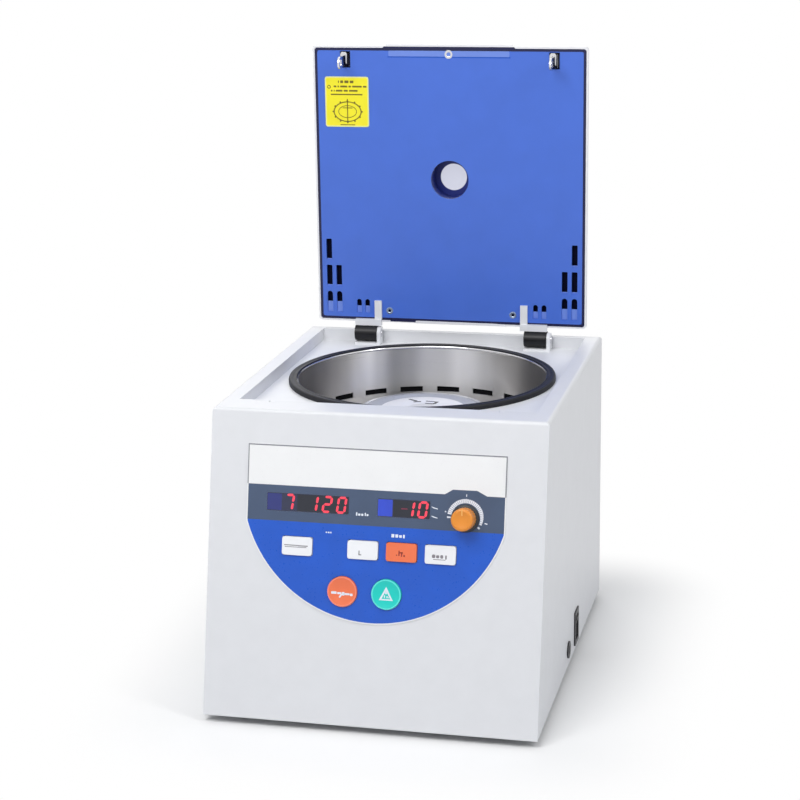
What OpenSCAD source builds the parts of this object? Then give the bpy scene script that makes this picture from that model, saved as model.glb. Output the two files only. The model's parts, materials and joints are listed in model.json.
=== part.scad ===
// Bench-top microcentrifuge with an open flat lid, a steel rotor chamber and a sloped
// control panel. Millimetres, +Z up, the front faces -Y. The origin lies on the table,
// under the middle of the whole machine with its lid open.

/* [Casing] */
// Width of the casing
body_w = 260; // [256:2:320]
// Depth of the casing along its top edge
top_depth = 282.6; // [276.6:2:330.6]
// Height of the casing above its feet
body_h = 231.2; // [211.2:2:271.2]
// How far the foot of the front face stands ahead of its top edge
front_lean = 51.6; // [35.6:1:57.6]
// Thickness of the casing walls
wall = 2.4; // [2:0.2:3]
// Radius of the casing's top edges
edge_r = 3; // [1.5:0.5:4]
// Width of the rims beside the recess in the top
side_rim = 13.4; // [12.4:0.2:16]
// Width of the rim in front of the recess
front_rim = 26.6; // [26.6:0.5:31.6]
// Width of the rim behind the recess
rear_rim = 9; // [8:0.2:9.6]
// Depth of the recess in the top
recess_depth = 10.2; // [10.2:0.2:12]
// Height of the rubber feet
foot_h = 6; // [4:0.5:10]

/* [Chamber] */
// Inner radius of the rotor chamber
bowl_r = 102.2; // [86.2:0.5:102.2]
// Depth of the chamber below the deck
bowl_depth = 82; // [80:1:94]
// Thickness of the chamber's sheet steel
bowl_t = 1.2; // [0.8:0.1:1.6]
// Number of air slots round the chamber wall
slot_count = 20; // [10:1:22]
// Height of the air slots
slot_h = 4.6; // [4:0.2:8]
// Width of the rubber gasket ring
gasket_w = 7; // [6:0.5:8]
// Height of the gasket above the deck
gasket_h = 4; // [3:0.2:7.6]

/* [Rotor] */
// Largest radius of the rotor
rotor_r = 72; // [66:1:78]
// Radius of the rotor lid
rotor_lid_r = 49.5; // [46:0.5:54]
// Radius of the turning disc on the rotor lid
lid_disc_r = 35.5; // [28:0.5:40]
// Number of tube holes
tube_count = 12; // [6:1:12]
// Diameter of a tube hole
tube_d = 11; // [9:0.2:11.4]

/* [Lid] */
// Thickness of the lid
lid_t = 19.8; // [17:0.2:26]
// How far the lid lies over each side rim
lid_overlap = 1.8; // [1.4:0.1:5]
// Distance of the closed lid from the front edge of the casing
lid_front_margin = 17; // [12:0.2:18]
// Inner radius of the viewing tunnel
tunnel_r = 16.5; // [13:0.5:20]
// Distance of the viewing tunnel from the hinge axis
tunnel_up = 136.2; // [110.2:1:165.2]

/* [Hinges] */
// Radius of the friction barrels
barrel_r = 7; // [6:0.1:7.2]
// Length of a friction barrel
barrel_len = 19.6; // [16:0.1:22]
// Diameter of the hinge pins
pin_d = 4.4; // [3:0.2:6]

/* [Panel] */
// Width of the control panel
panel_w = 200; // [190:2:216]
// Width of a rectangular key
key_w = 23.5; // [18:0.5:27]
// Height of a rectangular key
key_h = 14; // [11:0.5:17]
// Diameter of the start and stop keys
round_key_d = 23; // [18:0.5:26]
// Diameter of the orange knob
knob_d = 17; // [14:0.5:20]

/* [Hidden] */
$fn = 72;
// Clearance between pieces that move past each other
slip = 0.35;
// Radial clearance of a shaft, pin or screw in its bore
bore_gap = 0.05;
// How far a cut runs past the face it opens
past = 1;

// Casing heights and the slope of the front
top_z = foot_h + body_h;
deck_z = top_z - recess_depth;
inner_top = top_z - wall;
lean_angle = atan2(front_lean, body_h);
down_slope = [-sin(lean_angle), -cos(lean_angle)];
inner_w = body_w - 2 * wall;
inner_rear = top_depth - wall;

// Recess in the top, its skirt and the deck under it
recess_w = body_w - 2 * side_rim;
recess_rear = top_depth - rear_rim;
skirt_t = 2;
deck_t = 2;
deck_margin = 7;
deck_front = 12;
deck_rear = 3;
deck_l = recess_rear - front_rim + 2 * skirt_t + deck_front + deck_rear;
screw_r = 1.6;
deck_boss_l = 12;
deck_screw_inset = 20;
screw_head_r = 3.2;
// Length of thread that a screw has in its boss
bite = 5;
screw_head_h = 1.6;

// Base, feet and the rear panel
base_t = 2;
base_z = foot_h;
base_fit = 0.3;
block = 12;
block_h = 14;
foot_r = 11;
foot_inset = 24;
foot_taper = 1.5;
rear_frame = 14;
rear_t = 1.5;
rear_overlap = 8;
vent_count = 9;
vent_pitch = 9;
vent_w = 4;
vent_len = 60;

// Chamber
gasket_r = bowl_r + gasket_w;
gasket_front_gap = 15.6;
bowl_y = front_rim + gasket_front_gap + gasket_r;
bowl_floor_z = deck_z - bowl_depth;
bowl_flange_w = 4.5;
gasket_lip = 1.2;
bowl_chamfer = 9;
bowl_hole_r = 20;
slot_top = 33;
slot_angle = 11;

// Rotor and spindle
rotor_top_z = deck_z - 25.5;
rotor_h = 46;
rotor_z = rotor_top_z - rotor_h;
rotor_wall_r = rotor_lid_r + 2.5;
rotor_pocket = 9;
rotor_seat_w = 3.5;
rotor_shoulder = 15;
rotor_band = 8;
rotor_foot_r = 34;
tube_mouth_r = 33;
tube_depth = 34;
tube_tilt = 45;
spindle_r = 7;
spindle_tip_r = 4;
shoulder_r = 11;
lid_plate_t = 2;
disc_t = 1.6;
nut_h = 5;
nut_r = 7;

// Motor, from the base upwards
mount_h = 24;
mount_r = 9;
mount_ring_r = 52;
motor_plate_t = 4;
motor_plate_r = 63;
motor_r = 45;
motor_wall = 3;
motor_plate_z = base_z + base_t + mount_h;
motor_z = motor_plate_z + motor_plate_t;
cap_t = 6;
cap_lip = 2;
motor_top_z = bowl_floor_z - 12;
bearing_r = 15;
bearing_h = 9;
magnet_r = 24;
stator_bore = 26;
coil_h = 8;
stator_z = motor_z + motor_wall + bearing_h + coil_h;
stator_h = motor_top_z - cap_lip - bearing_h - 3 * coil_h - stator_z;
boot_t = 3;
boot_gap = 1.5;
boot_wall = 4;

// Hinge axis, and the lid placed from it
hinge_drop = 0.6;
barrel_gap = 0.4;
hinge_y = recess_rear - barrel_gap - barrel_r;
hinge_z = top_z - hinge_drop;
lid_gap = 0.4;
lid_face = lid_gap + hinge_drop;
lid_back = lid_face + lid_t;
lid_tail = 9.9;
lid_w = recess_w + 2 * lid_overlap;
lid_top = hinge_y - lid_front_margin;
lid_wall = 1.5;
lid_edge = 4;
lid_taper = 5;
lid_corner_r = 3;
liner_fit = 0.15;
liner_t = 2.4;
rebate_w = 2.2;
rebate_deep = 1;
window_r = 13;
window_t = 2;
window_lip = 1.5;
grip_w = 108;
grip_out = 1.3;
grip_screw_in = 6.6;

// Air slots of the liner: distance from the middle, and from the hinge axis
air_w = 5;
air_h = 18.4;
air_pitch = 23.2;
air_low = 17.7;
air_outer_x = 108.1;
air_inner_x = 99.6;
air_small_x = [74.4, 81.8];
air_small_h = 12;
air_small_w = 4.2;
liner_screw_x = 54.6;
liner_screw_up = 20;
liner_screw_r = 1.6;
boss_r = 4.5;
boss_deep = 8;
liner_head_r = 3;
liner_head_h = 1.2;
head_room = 1.4;
label_x = -89.1;
label_up = 201.8;
label_w = 38.4;
label_h = 42.8;
label_t = 0.3;

// Strikers on the lid and the lock below the front rim
striker_x = 90;
striker_back = 12.6;
striker_t = 2.2;
striker_w = 10;
striker_len = 23;
striker_window = 5;
striker_window_at = 17.5;
striker_foot = 12;
striker_foot_t = 2;
striker_root = 13;
striker_hole_w = 9;
striker_hole_h = 14;
striker_hole_up = 1.2;
striker_up = lid_top - striker_back;
lock_y = hinge_y - striker_up;
lock_pin_r = 1.8;
lock_pin_z = top_z + lid_gap - striker_window_at;
lock_reach = 1.2;
lock_bar_w = 8;
lock_bar_t = 3;
lock_bar_z = top_z - 28;
notch_w = 4.2;
notch_deep = 4;
deck_slot_l = 14;
lock_pin_l = 6;
finger_t = 2;
guide_wall = 3;
frame_x = 112;
frame_y = lock_y + striker_w / 2 + guide_wall;
frame_t = 2;
frame_low = lock_bar_z - 30;
frame_flange = 8;
guide_x = 56;
guide_l = 12;
solenoid_r = 8;
solenoid_l = 34;
solenoid_z = lock_bar_z - solenoid_r - 6;
plunger_r = 3;
plunger_l = 14;
plunger_x = 4;

// Hinges
hinge_x = 75;
ear_t = 3;
ear_r = 6;
ear_gap = 0.2;
flange_gap = 0.6;
flange_h = hinge_z - deck_z - barrel_r - flange_gap;
flange_front = 6.5;
flange_rear = 3.6;
strap_x = 64.5;
strap_w = 6.2;
strap_t = 2.2;
strap_up = 28.9;
arm_gap = 0.05;
arm_foot_t = 5.5;
arm_foot_front = 3.1;
pin_head_r = 3.2;
pin_head_h = 0.8;

// Panel, measured down the slope from the top edge of the front
overlay_t = 0.8;
panel_top = 26.2;
panel_side = 59;
panel_sag = 73;
panel_arc_r = (pow(panel_w / 2, 2) + pow(panel_sag, 2)) / (2 * panel_sag);
panel_arc_v = panel_top + panel_side + panel_sag - panel_arc_r;
display_v = 69.5;
display_h = 13.6;
display_fit = 0.1;
display_rim = 1.5;
speed_x = -52;
speed_w = 64.2;
time_x = 22.6;
time_w = 40.4;
key_v = 101.8;
key_pitch = 29.9;
key_middle_x = -7.8;
key_left_x = -59;
key_proud = 1.6;
key_travel = 0.8;
key_lip = 1.4;
key_lip_t = 1.2;
stop_x = -22.7;
start_x = 11.5;
round_v = 134.2;
knob_x = 69.8;
knob_v = 73.8;
knob_h = 12.5;
skirt_r = 10.5;
skirt_h = 3;
shaft_r = 3;
bushing_r = 5;
board_gap = 14;
board_t = 1.6;
board_w = 180;
board_top_v = 54;
board_low_v = 150;
board_z = -wall - board_gap;
post_r = 3;
switch_size = 6;
switch_tip = 2;

// Power parts on the right side and at the rear
switch_y = 139.6;
switch_z = foot_h + 19;
switch_w = 19;
switch_h = 29;
switch_rim = 2;
switch_depth = 24;
switch_wall = 1.6;
switch_block_gap = 12.3;
flange_t = 1.2;
rocker_proud = 0.8;
rocker_t = 9;
rocker_tilt = 7;
pivot_in = 3.2;
trunnion_r = 1.4;
trunnion_l = 1.2;
breaker_y = 98.8;
breaker_z = foot_h + 14;
breaker_r = 7;
breaker_depth = 26;
breaker_travel = 2;
button_r = 3.6;
button_room = 6;
inlet_x = 78;
inlet_z = foot_h + 30;
inlet_w = 27;
inlet_h = 20;
inlet_wall = 1.8;
inlet_depth = 22;
inlet_rim = 2.5;
inlet_floor = 3;
inlet_pin_places = [[-7, -1], [0, 4], [7, -1]];
power_board_x = -20;
power_board_y = 32;
power_board_w = 150;
power_board_l = 70;
power_board_h = 8;
post_inset = 5;
transformer_size = [46, 40, 36];
transformer_place = [-64, -20, 0];
heat_sink_size = [64, 5, 34];
heat_sink_place = [-8, 20, 0];
capacitor_r = 8;
capacitor_h = 28;
relay_size = [16, 12, 14];

// The whole machine's middle: side to side the switch stands out on the right only,
// and front to back the open lid stands out behind
side_proud = flange_t + rocker_proud;
middle_x = side_proud / 2;
middle_y = (hinge_y + lid_back - front_lean) / 2;

module placed() {
    translate([-middle_x, -middle_y, 0]) children();
}

// Frame of the front face: x to the right, y up the slope, z out of the face
module on_front() {
    placed() translate([0, 0, top_z]) rotate([90 - lean_angle, 0, 0]) children();
}

// Frame of the lid: x to the right, y away from the hinge, z out of the liner's face
module on_lid() {
    placed() translate([0, hinge_y, hinge_z]) rotate([90, 0, 0]) children();
}

module at_spindle() {
    placed() translate([0, bowl_y, 0]) children();
}

// Extrudes a (y, z) drawing along x, centred
module along_x(len) {
    rotate([90, 0, 90]) linear_extrude(len, center = true) children();
}

// Extrudes an (x, z) drawing along y, from y0
module along_y(y0, len) {
    translate([0, y0 + len, 0]) rotate([90, 0, 0]) linear_extrude(len) children();
}

module x_cylinder(r, len) {
    rotate([0, 90, 0]) cylinder(r = r, h = len);
}

// The area outside a fillet of radius r, at a corner with two edge directions
module corner_cut(corner, dir_a, dir_b, r) {
    half = acos(dir_a * dir_b) / 2;
    bisector = (dir_a + dir_b) / norm(dir_a + dir_b);
    reach = r / tan(half);
    centre = corner + bisector * r / sin(half);
    difference() {
        polygon([corner - bisector, corner + dir_a * reach, centre, corner + dir_b * reach]);
        translate(centre) circle(r);
    }
}

module rounded_square(w, h, r) {
    square([w - 2 * r, h], center = true);
    square([w, h - 2 * r], center = true);
    for (sx = [-1, 1], sy = [-1, 1])
        translate([sx * (w / 2 - r), sy * (h / 2 - r)]) circle(r);
}

// Place of the front face at a height, moved back by a wall thickness
function front_y(z, inset) = (z - top_z) * tan(lean_angle) + inset / cos(lean_angle);

// ---- Casing ----

module casing_outer() {
    intersection() {
        along_x(body_w) difference() {
            polygon([[-front_lean, base_z], [0, top_z], [top_depth, top_z], [top_depth, base_z]]);
            corner_cut([0, top_z], [1, 0], down_slope, edge_r);
            corner_cut([top_depth, top_z], [-1, 0], [0, -1], edge_r);
        }
        along_y(-front_lean - past, front_lean + top_depth + 2 * past) difference() {
            translate([-body_w / 2, base_z]) square([body_w, body_h]);
            corner_cut([-body_w / 2, top_z], [1, 0], [0, -1], edge_r);
            corner_cut([body_w / 2, top_z], [-1, 0], [0, -1], edge_r);
        }
    }
}

module casing_cavity() {
    along_x(inner_w) polygon([
        [front_y(base_z - past, wall), base_z - past],
        [front_y(inner_top, wall), inner_top],
        [inner_rear, inner_top],
        [inner_rear, base_z - past]]);
}

module recess_block(grow, z0, z1) {
    translate([-recess_w / 2 - grow, front_rim - grow, z0])
        cube([recess_w + 2 * grow, recess_rear - front_rim + 2 * grow, z1 - z0]);
}

function barrel_start(side) = side * hinge_x - barrel_len / 2;

module deck_screw_places() {
    x = recess_w / 2 + skirt_t + (inner_w / 2 - recess_w / 2 - skirt_t) / 2;
    ys = [front_rim + deck_screw_inset, (front_rim + recess_rear) / 2, recess_rear - deck_screw_inset];
    for (side = [-1, 1], y = ys) translate([side * x, y, 0]) children();
}

module base_block_places() {
    ys = [block, switch_y + (switch_w + block) / 2 + switch_block_gap, inner_rear - block];
    for (side = [-1, 1], y = ys) translate([side * (inner_w - block) / 2, y, base_z]) children();
}

module rear_screw_places() {
    x = body_w / 2 - rear_frame + rear_overlap / 2;
    z0 = base_z + rear_frame - rear_overlap / 2;
    z1 = top_z - recess_depth - rear_frame;
    for (side = [-1, 1], z = [z0, z1]) translate([side * x, top_depth, z]) rotate([-90, 0, 0]) children();
}

module front_cuts() {
    translate([0, 0, top_z]) rotate([90 - lean_angle, 0, 0]) translate([0, 0, -wall - past]) {
        depth = wall + 2 * past;
        for (win = [[speed_x, speed_w], [time_x, time_w]])
            translate([win[0], -display_v, depth / 2])
                cube([win[1] - 2 * display_rim, display_h - 2 * display_rim, depth], center = true);
        for (x = rect_key_xs())
            translate([x, -key_v, depth / 2])
                cube([key_w + 2 * slip, key_h + 2 * slip, depth], center = true);
        for (x = [stop_x, start_x])
            translate([x, -round_v, 0]) cylinder(r = round_key_d / 2 + slip, h = depth);
        translate([knob_x, -knob_v, 0]) cylinder(r = bushing_r + bore_gap, h = depth);
    }
}

module side_cuts() {
    translate([inner_w / 2 - past, switch_y, switch_z]) along_x_from(0, wall + 2 * past)
        square([switch_w - 2 * switch_rim, switch_h - 2 * switch_rim], center = true);
    translate([inner_w / 2 - past, breaker_y, breaker_z])
        x_cylinder(breaker_r - switch_rim + bore_gap, wall + 2 * past);
}

module rear_cut() {
    translate([-body_w / 2 + rear_frame, inner_rear - past, base_z + rear_frame])
        cube([body_w - 2 * rear_frame, wall + 2 * past, body_h - recess_depth - 2 * rear_frame]);
}

// Notches in the rim and slots in the deck, through which the strikers pass
module striker_notches() {
    for (side = [-1, 1])
        translate([side * striker_x - notch_w / 2, front_rim - notch_deep, deck_z - past])
            cube([notch_w, notch_deep + past, recess_depth + 2 * past]);
}

module striker_slots() {
    for (side = [-1, 1])
        translate([side * striker_x - notch_w / 2, lock_y - deck_slot_l / 2, deck_z - deck_t - past])
            cube([notch_w, deck_slot_l, deck_t + 2 * past]);
}

module casing() {
    color("gainsboro") placed() difference() {
        union() {
            difference() {
                casing_outer();
                casing_cavity();
            }
            recess_block(skirt_t, deck_z, inner_top + wall / 2);
            deck_screw_places() translate([-deck_boss_w() / 2, -deck_boss_l / 2, deck_z])
                cube([deck_boss_w(), deck_boss_l, inner_top + wall / 2 - deck_z]);
            base_block_places() translate([-block / 2 - wall / 2, -block / 2, base_t])
                cube([block + wall, block, block_h]);
        }
        recess_block(0, deck_z - past, top_z + past);
        front_cuts();
        side_cuts();
        rear_cut();
        striker_notches();
        deck_screw_places() translate([0, 0, deck_z]) screw_hole(bite);
        base_block_places() translate([0, 0, base_t]) screw_hole(bite);
        rear_screw_places() translate([0, 0, -wall]) screw_hole(wall);
    }
}

function deck_boss_w() = inner_w / 2 - recess_w / 2 - skirt_t + wall;

module rear_panel() {
    w = body_w - 2 * (rear_frame - rear_overlap);
    z0 = base_z + rear_frame - rear_overlap;
    h = body_h - recess_depth - 2 * (rear_frame - rear_overlap);
    color("gainsboro") placed() difference() {
        along_y(top_depth, rear_t) translate([0, z0 + h / 2]) rounded_square(w, h, edge_r);
        for (i = [0 : vent_count - 1], side = [-1, 1]) {
            x = side * (vent_len / 2 + block) - vent_len / 2;
            z = z0 + h - 2 * rear_frame - i * vent_pitch;
            translate([x, top_depth - past, z]) cube([vent_len, rear_t + 2 * past, vent_w]);
        }
        translate([inlet_x - inlet_w / 2, top_depth - past, inlet_z - inlet_h / 2])
            cube([inlet_w, rear_t + 2 * past, inlet_h]);
        rear_screw_places() screw_hole(rear_t);
    }
}

module base_plate() {
    color("lightslategray") placed() difference() {
        along_x(inner_w - 2 * base_fit) polygon([
            [front_y(base_z, wall) + base_fit, base_z],
            [front_y(base_z + base_t, wall) + base_fit, base_z + base_t],
            [inner_rear - base_fit, base_z + base_t],
            [inner_rear - base_fit, base_z]]);
        base_block_places() screw_hole(base_t);
    }
}

module screw_hole(t) {
    translate([0, 0, -past]) cylinder(r = screw_r + bore_gap, h = t + 2 * past);
}

module screw(r, len) {
    cylinder(r = r, h = len);
    translate([0, 0, -screw_head_h]) cylinder(r = screw_head_r, h = screw_head_h);
}

module case_screws() {
    color("silver") placed() {
        base_block_places() screw(screw_r, base_t + bite);
        rear_screw_places() translate([0, 0, rear_t]) rotate([180, 0, 0])
            screw(screw_r, rear_t + wall + bite);
    }
}

module rubber_feet() {
    xs = body_w / 2 - foot_inset;
    ys = [front_y(base_z, 0) + foot_inset, top_depth - foot_inset];
    color("dimgray") placed() for (side = [-1, 1], y = ys)
        translate([side * xs, y, 0]) cylinder(r1 = foot_r - foot_taper, r2 = foot_r, h = foot_h);
}

module top_deck() {
    color("whitesmoke") placed() difference() {
        translate([-recess_w / 2 - skirt_t - deck_margin, front_rim - skirt_t - deck_front, deck_z - deck_t])
            cube([recess_w + 2 * (skirt_t + deck_margin), deck_l, deck_t]);
        translate([0, bowl_y, deck_z - deck_t - past])
            cylinder(r = bowl_r + bowl_t + base_fit, h = deck_t + 2 * past);
        striker_slots();
        deck_screw_places() translate([0, 0, deck_z - deck_t]) screw_hole(deck_t);
    }
}

module deck_screws() {
    color("silver") placed() deck_screw_places() translate([0, 0, deck_z - deck_t])
        screw(screw_r, deck_t + bite);
}

// ---- Chamber ----

module chamber_bowl() {
    inner = bowl_r;
    outer = bowl_r + bowl_t;
    collar = gasket_h - gasket_lip;
    slot_w = 2 * bowl_r * sin(slot_angle / 2);
    color("silver") at_spindle() difference() {
        rotate_extrude() polygon([
            [bowl_hole_r, bowl_floor_z], [inner - bowl_chamfer, bowl_floor_z],
            [inner, bowl_floor_z + bowl_chamfer], [inner, deck_z + collar], [outer, deck_z + collar],
            [outer, deck_z + bowl_t], [inner + bowl_flange_w, deck_z + bowl_t],
            [inner + bowl_flange_w, deck_z], [outer, deck_z], [outer, bowl_floor_z + bowl_chamfer - bowl_t],
            [outer - bowl_chamfer, bowl_floor_z - bowl_t], [bowl_hole_r, bowl_floor_z - bowl_t]]);
        for (i = [0 : slot_count - 1])
            rotate([0, 0, i * 360 / slot_count + 90])
                translate([inner - 2 * bowl_t, -slot_w / 2, deck_z - slot_top - slot_h])
                    cube([4 * bowl_t, slot_w, slot_h]);
    }
}

module chamber_gasket() {
    collar = gasket_h - gasket_lip;
    grip = bowl_r + bowl_t + bore_gap;
    edge = bowl_r + bowl_flange_w + bore_gap;
    color("black") at_spindle() translate([0, 0, deck_z]) rotate_extrude() polygon([
        [bowl_r, collar], [bowl_r, gasket_h - 0.5], [bowl_r + 0.5, gasket_h], [bowl_r + 2, gasket_h],
        [bowl_r + 2.4, gasket_h - 0.5], [gasket_r - 2.4, gasket_h - 0.5], [gasket_r - 2, gasket_h],
        [gasket_r - 1, gasket_h], [gasket_r, gasket_h - 1], [gasket_r, 0], [edge, 0], [edge, bowl_t],
        [grip, bowl_t], [grip, collar]]);
}

module spindle_boot() {
    inner = shoulder_r + boot_gap;
    neck = bowl_hole_r - bore_gap;
    low = bowl_floor_z - bowl_t;
    color("dimgray") at_spindle() rotate_extrude() polygon([
        [inner, motor_top_z], [inner + boot_wall, motor_top_z], [neck, low - boot_t],
        [neck + boot_wall, low - boot_t], [neck + boot_wall, low], [neck, low],
        [neck, bowl_floor_z + 1], [inner, bowl_floor_z + 1]]);
}

// ---- Control panel ----

function rect_key_xs() = [key_left_x, key_middle_x, key_middle_x + key_pitch, key_middle_x + 2 * key_pitch];

module panel_outline() {
    side_v = panel_top + panel_side;
    translate([-panel_w / 2, -side_v]) square([panel_w, panel_side]);
    intersection() {
        translate([0, -panel_arc_v]) circle(panel_arc_r, $fn = 144);
        translate([-panel_w / 2, -side_v - panel_sag]) square([panel_w, panel_sag]);
    }
}

module panel_overlay() {
    color("royalblue") on_front() difference() {
        linear_extrude(overlay_t) panel_outline();
        translate([0, 0, -past]) linear_extrude(overlay_t + 2 * past) {
            for (win = [[speed_x, speed_w], [time_x, time_w]])
                translate([win[0], -display_v]) square([win[1], display_h], center = true);
            for (x = rect_key_xs())
                translate([x, -key_v]) square([key_w + 2 * slip, key_h + 2 * slip], center = true);
            for (x = [stop_x, start_x]) translate([x, -round_v]) circle(round_key_d / 2 + slip);
            translate([knob_x, -knob_v]) circle(bushing_r + bore_gap);
        }
    }
}

module display_windows() {
    color("midnightblue") on_front() for (win = [[speed_x, speed_w], [time_x, time_w]])
        translate([win[0], -display_v, overlay_t / 2])
            cube([win[1] - 2 * display_fit, display_h - 2 * display_fit, overlay_t], center = true);
}

module display_modules() {
    h = board_gap - 2;
    color("maroon") on_front() for (win = [[speed_x, speed_w], [time_x, time_w]])
        translate([win[0], -display_v, board_z + h / 2])
            cube([win[1] - 2 * display_rim, display_h, h], center = true);
}

module board_post_places() {
    xs = [-board_w / 2 + post_r + past, board_w / 2 - post_r - past];
    vs = [board_top_v + 2 * post_r, round_v - 2 * key_h];
    for (x = xs, v = vs) translate([x, -v, 0]) children();
    for (x = xs) translate([x * 0.45, -board_low_v + 2 * post_r, 0]) children();
}

module control_board() {
    color("darkgreen") on_front() translate([0, 0, board_z - board_t]) linear_extrude(board_t) {
        intersection() {
            translate([-board_w / 2, -board_low_v]) square([board_w, board_low_v - board_top_v]);
            panel_outline();
        }
    }
}

module board_posts() {
    color("silver") on_front() board_post_places() translate([0, 0, board_z])
        cylinder(r = post_r, h = board_gap);
}

module key_switches() {
    top = -wall - key_lip_t - key_travel - 0.1;
    places = concat([for (x = rect_key_xs()) [x, key_v]], [[stop_x, round_v], [start_x, round_v]]);
    color("black") on_front() for (p = places) translate([p[0], -p[1], board_z]) {
        translate([-switch_size / 2, -switch_size / 2, 0])
            cube([switch_size, switch_size, top - board_z - switch_tip]);
        cylinder(r = switch_size / 4, h = top - board_z);
    }
}

module knob_encoder() {
    body = 14;
    color("dimgray") on_front() translate([knob_x, -knob_v, 0]) difference() {
        union() {
            translate([-body / 2, -body / 2, board_z]) cube([body, body, board_gap]);
            translate([0, 0, -wall - 1]) cylinder(r = bushing_r, h = wall + overlay_t + 2);
        }
        translate([0, 0, board_z + 2]) cylinder(r = shaft_r + bore_gap, h = board_gap + 2 * wall + 2);
    }
}

module rect_key(x) {
    on_front() translate([x, -key_v, 0]) {
        translate([-key_w / 2, -key_h / 2, -wall]) cube([key_w, key_h, wall + overlay_t + key_proud]);
        translate([-key_w / 2 - key_lip, -key_h / 2 - key_lip, -wall - key_lip_t])
            cube([key_w + 2 * key_lip, key_h + 2 * key_lip, key_lip_t]);
    }
}

module round_key(x) {
    on_front() translate([x, -round_v, -wall]) {
        cylinder(r = round_key_d / 2, h = wall + overlay_t + key_proud);
        translate([0, 0, -key_lip_t]) cylinder(r = round_key_d / 2 + key_lip, h = key_lip_t);
    }
}

module key_left() {
    color("white") rect_key(rect_key_xs()[0]);
}

module key_middle() {
    color("white") rect_key(rect_key_xs()[1]);
}

module key_orange() {
    color("tomato") rect_key(rect_key_xs()[2]);
}

module key_right() {
    color("white") rect_key(rect_key_xs()[3]);
}

module key_stop() {
    color("tomato") round_key(stop_x);
}

module key_start() {
    color("turquoise") round_key(start_x);
}

module knob_base(z) {
    on_front() translate([knob_x, -knob_v, overlay_t + z]) children();
}

module knob_shaft() {
    color("silver") on_front() translate([knob_x, -knob_v, board_z + 2 + bore_gap])
        cylinder(r = shaft_r, h = wall + board_gap - 2 + overlay_t + skirt_h + knob_h / 2);
}

module knob_skirt() {
    low = 1 + slip;
    color("black") knob_base(low) difference() {
        cylinder(r1 = skirt_r, r2 = skirt_r - 0.8, h = skirt_h - low);
        translate([0, 0, -past]) cylinder(r = shaft_r + bore_gap, h = skirt_h + 2 * past);
    }
}

module dial_knob() {
    color("orange") knob_base(skirt_h) difference() {
        rotate_extrude() polygon([[0, 0], [knob_d / 2, 0], [knob_d / 2 - 0.4, knob_h - 1],
            [knob_d / 2 - 1.4, knob_h], [0, knob_h]]);
        translate([0, 0, -past]) cylinder(r = shaft_r + bore_gap, h = knob_h / 2 + past + bore_gap);
    }
}

// ---- Motor and rotor ----

module mount_places() {
    for (i = [0 : 3]) rotate([0, 0, 45 + 90 * i]) translate([mount_ring_r, 0, 0]) children();
}

module motor_mounts() {
    color("dimgray") at_spindle() mount_places() translate([0, 0, base_z + base_t])
        rotate_extrude() polygon([[0, 0], [mount_r, 0], [mount_r, 5], [mount_r - 3, mount_h / 2],
            [mount_r, mount_h - 5], [mount_r, mount_h], [0, mount_h]]);
}

module motor_plate() {
    color("slategray") at_spindle() translate([0, 0, motor_plate_z])
        cylinder(r = motor_plate_r, h = motor_plate_t);
}

module motor_housing() {
    h = motor_top_z - cap_t - motor_z;
    color("darkgray") at_spindle() translate([0, 0, motor_z]) difference() {
        cylinder(r = motor_r, h = h);
        translate([0, 0, motor_wall + bearing_h]) cylinder(r = motor_r - motor_wall, h = h);
        translate([0, 0, motor_wall]) cylinder(r = bearing_r + bore_gap, h = h);
    }
}

module motor_cap() {
    hub_h = bearing_h + cap_lip;
    hub_wall = 4;
    color("darkgray") at_spindle() translate([0, 0, motor_top_z - cap_t]) difference() {
        union() {
            cylinder(r = motor_r, h = cap_t);
            translate([0, 0, cap_t - hub_h]) cylinder(r = bearing_r + hub_wall, h = hub_h - cap_t + past);
        }
        translate([0, 0, cap_t - hub_h - past]) cylinder(r = bearing_r + bore_gap, h = bearing_h + past);
        translate([0, 0, -hub_h]) cylinder(r = shoulder_r + boot_gap, h = 2 * hub_h + cap_t);
    }
}

module motor_bearings() {
    top = motor_top_z - cap_lip - bearing_h;
    color("silver") at_spindle() for (z = [motor_z + motor_wall, top]) translate([0, 0, z]) difference() {
        cylinder(r = bearing_r, h = bearing_h);
        translate([0, 0, -past]) cylinder(r = spindle_r + bore_gap, h = bearing_h + 2 * past);
    }
}

module motor_stator() {
    r = motor_r - motor_wall - bore_gap;
    coil_gap = 1;
    coil_inset = 4;
    color("peru") at_spindle() translate([0, 0, stator_z]) difference() {
        union() {
            cylinder(r = r, h = stator_h);
            translate([0, 0, coil_gap - coil_h])
                cylinder(r = r - coil_inset, h = stator_h + 2 * (coil_h - coil_gap));
        }
        translate([0, 0, -coil_h - past]) cylinder(r = stator_bore, h = stator_h + 2 * (coil_h + past));
    }
}

module motor_magnet() {
    color("slategray") at_spindle() translate([0, 0, stator_z]) difference() {
        cylinder(r = magnet_r, h = stator_h);
        translate([0, 0, -past]) cylinder(r = spindle_r + bore_gap, h = stator_h + 2 * past);
    }
}

module drive_spindle() {
    low = motor_z + motor_wall + 1;
    tip = rotor_top_z - rotor_pocket + nut_h;
    color("silver") at_spindle() {
        translate([0, 0, low]) cylinder(r = spindle_r, h = rotor_z - low);
        translate([0, 0, motor_top_z - 1]) cylinder(r = shoulder_r, h = rotor_z - motor_top_z + 1);
        translate([0, 0, rotor_z]) cylinder(r = spindle_tip_r, h = tip - rotor_z);
    }
}

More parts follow.
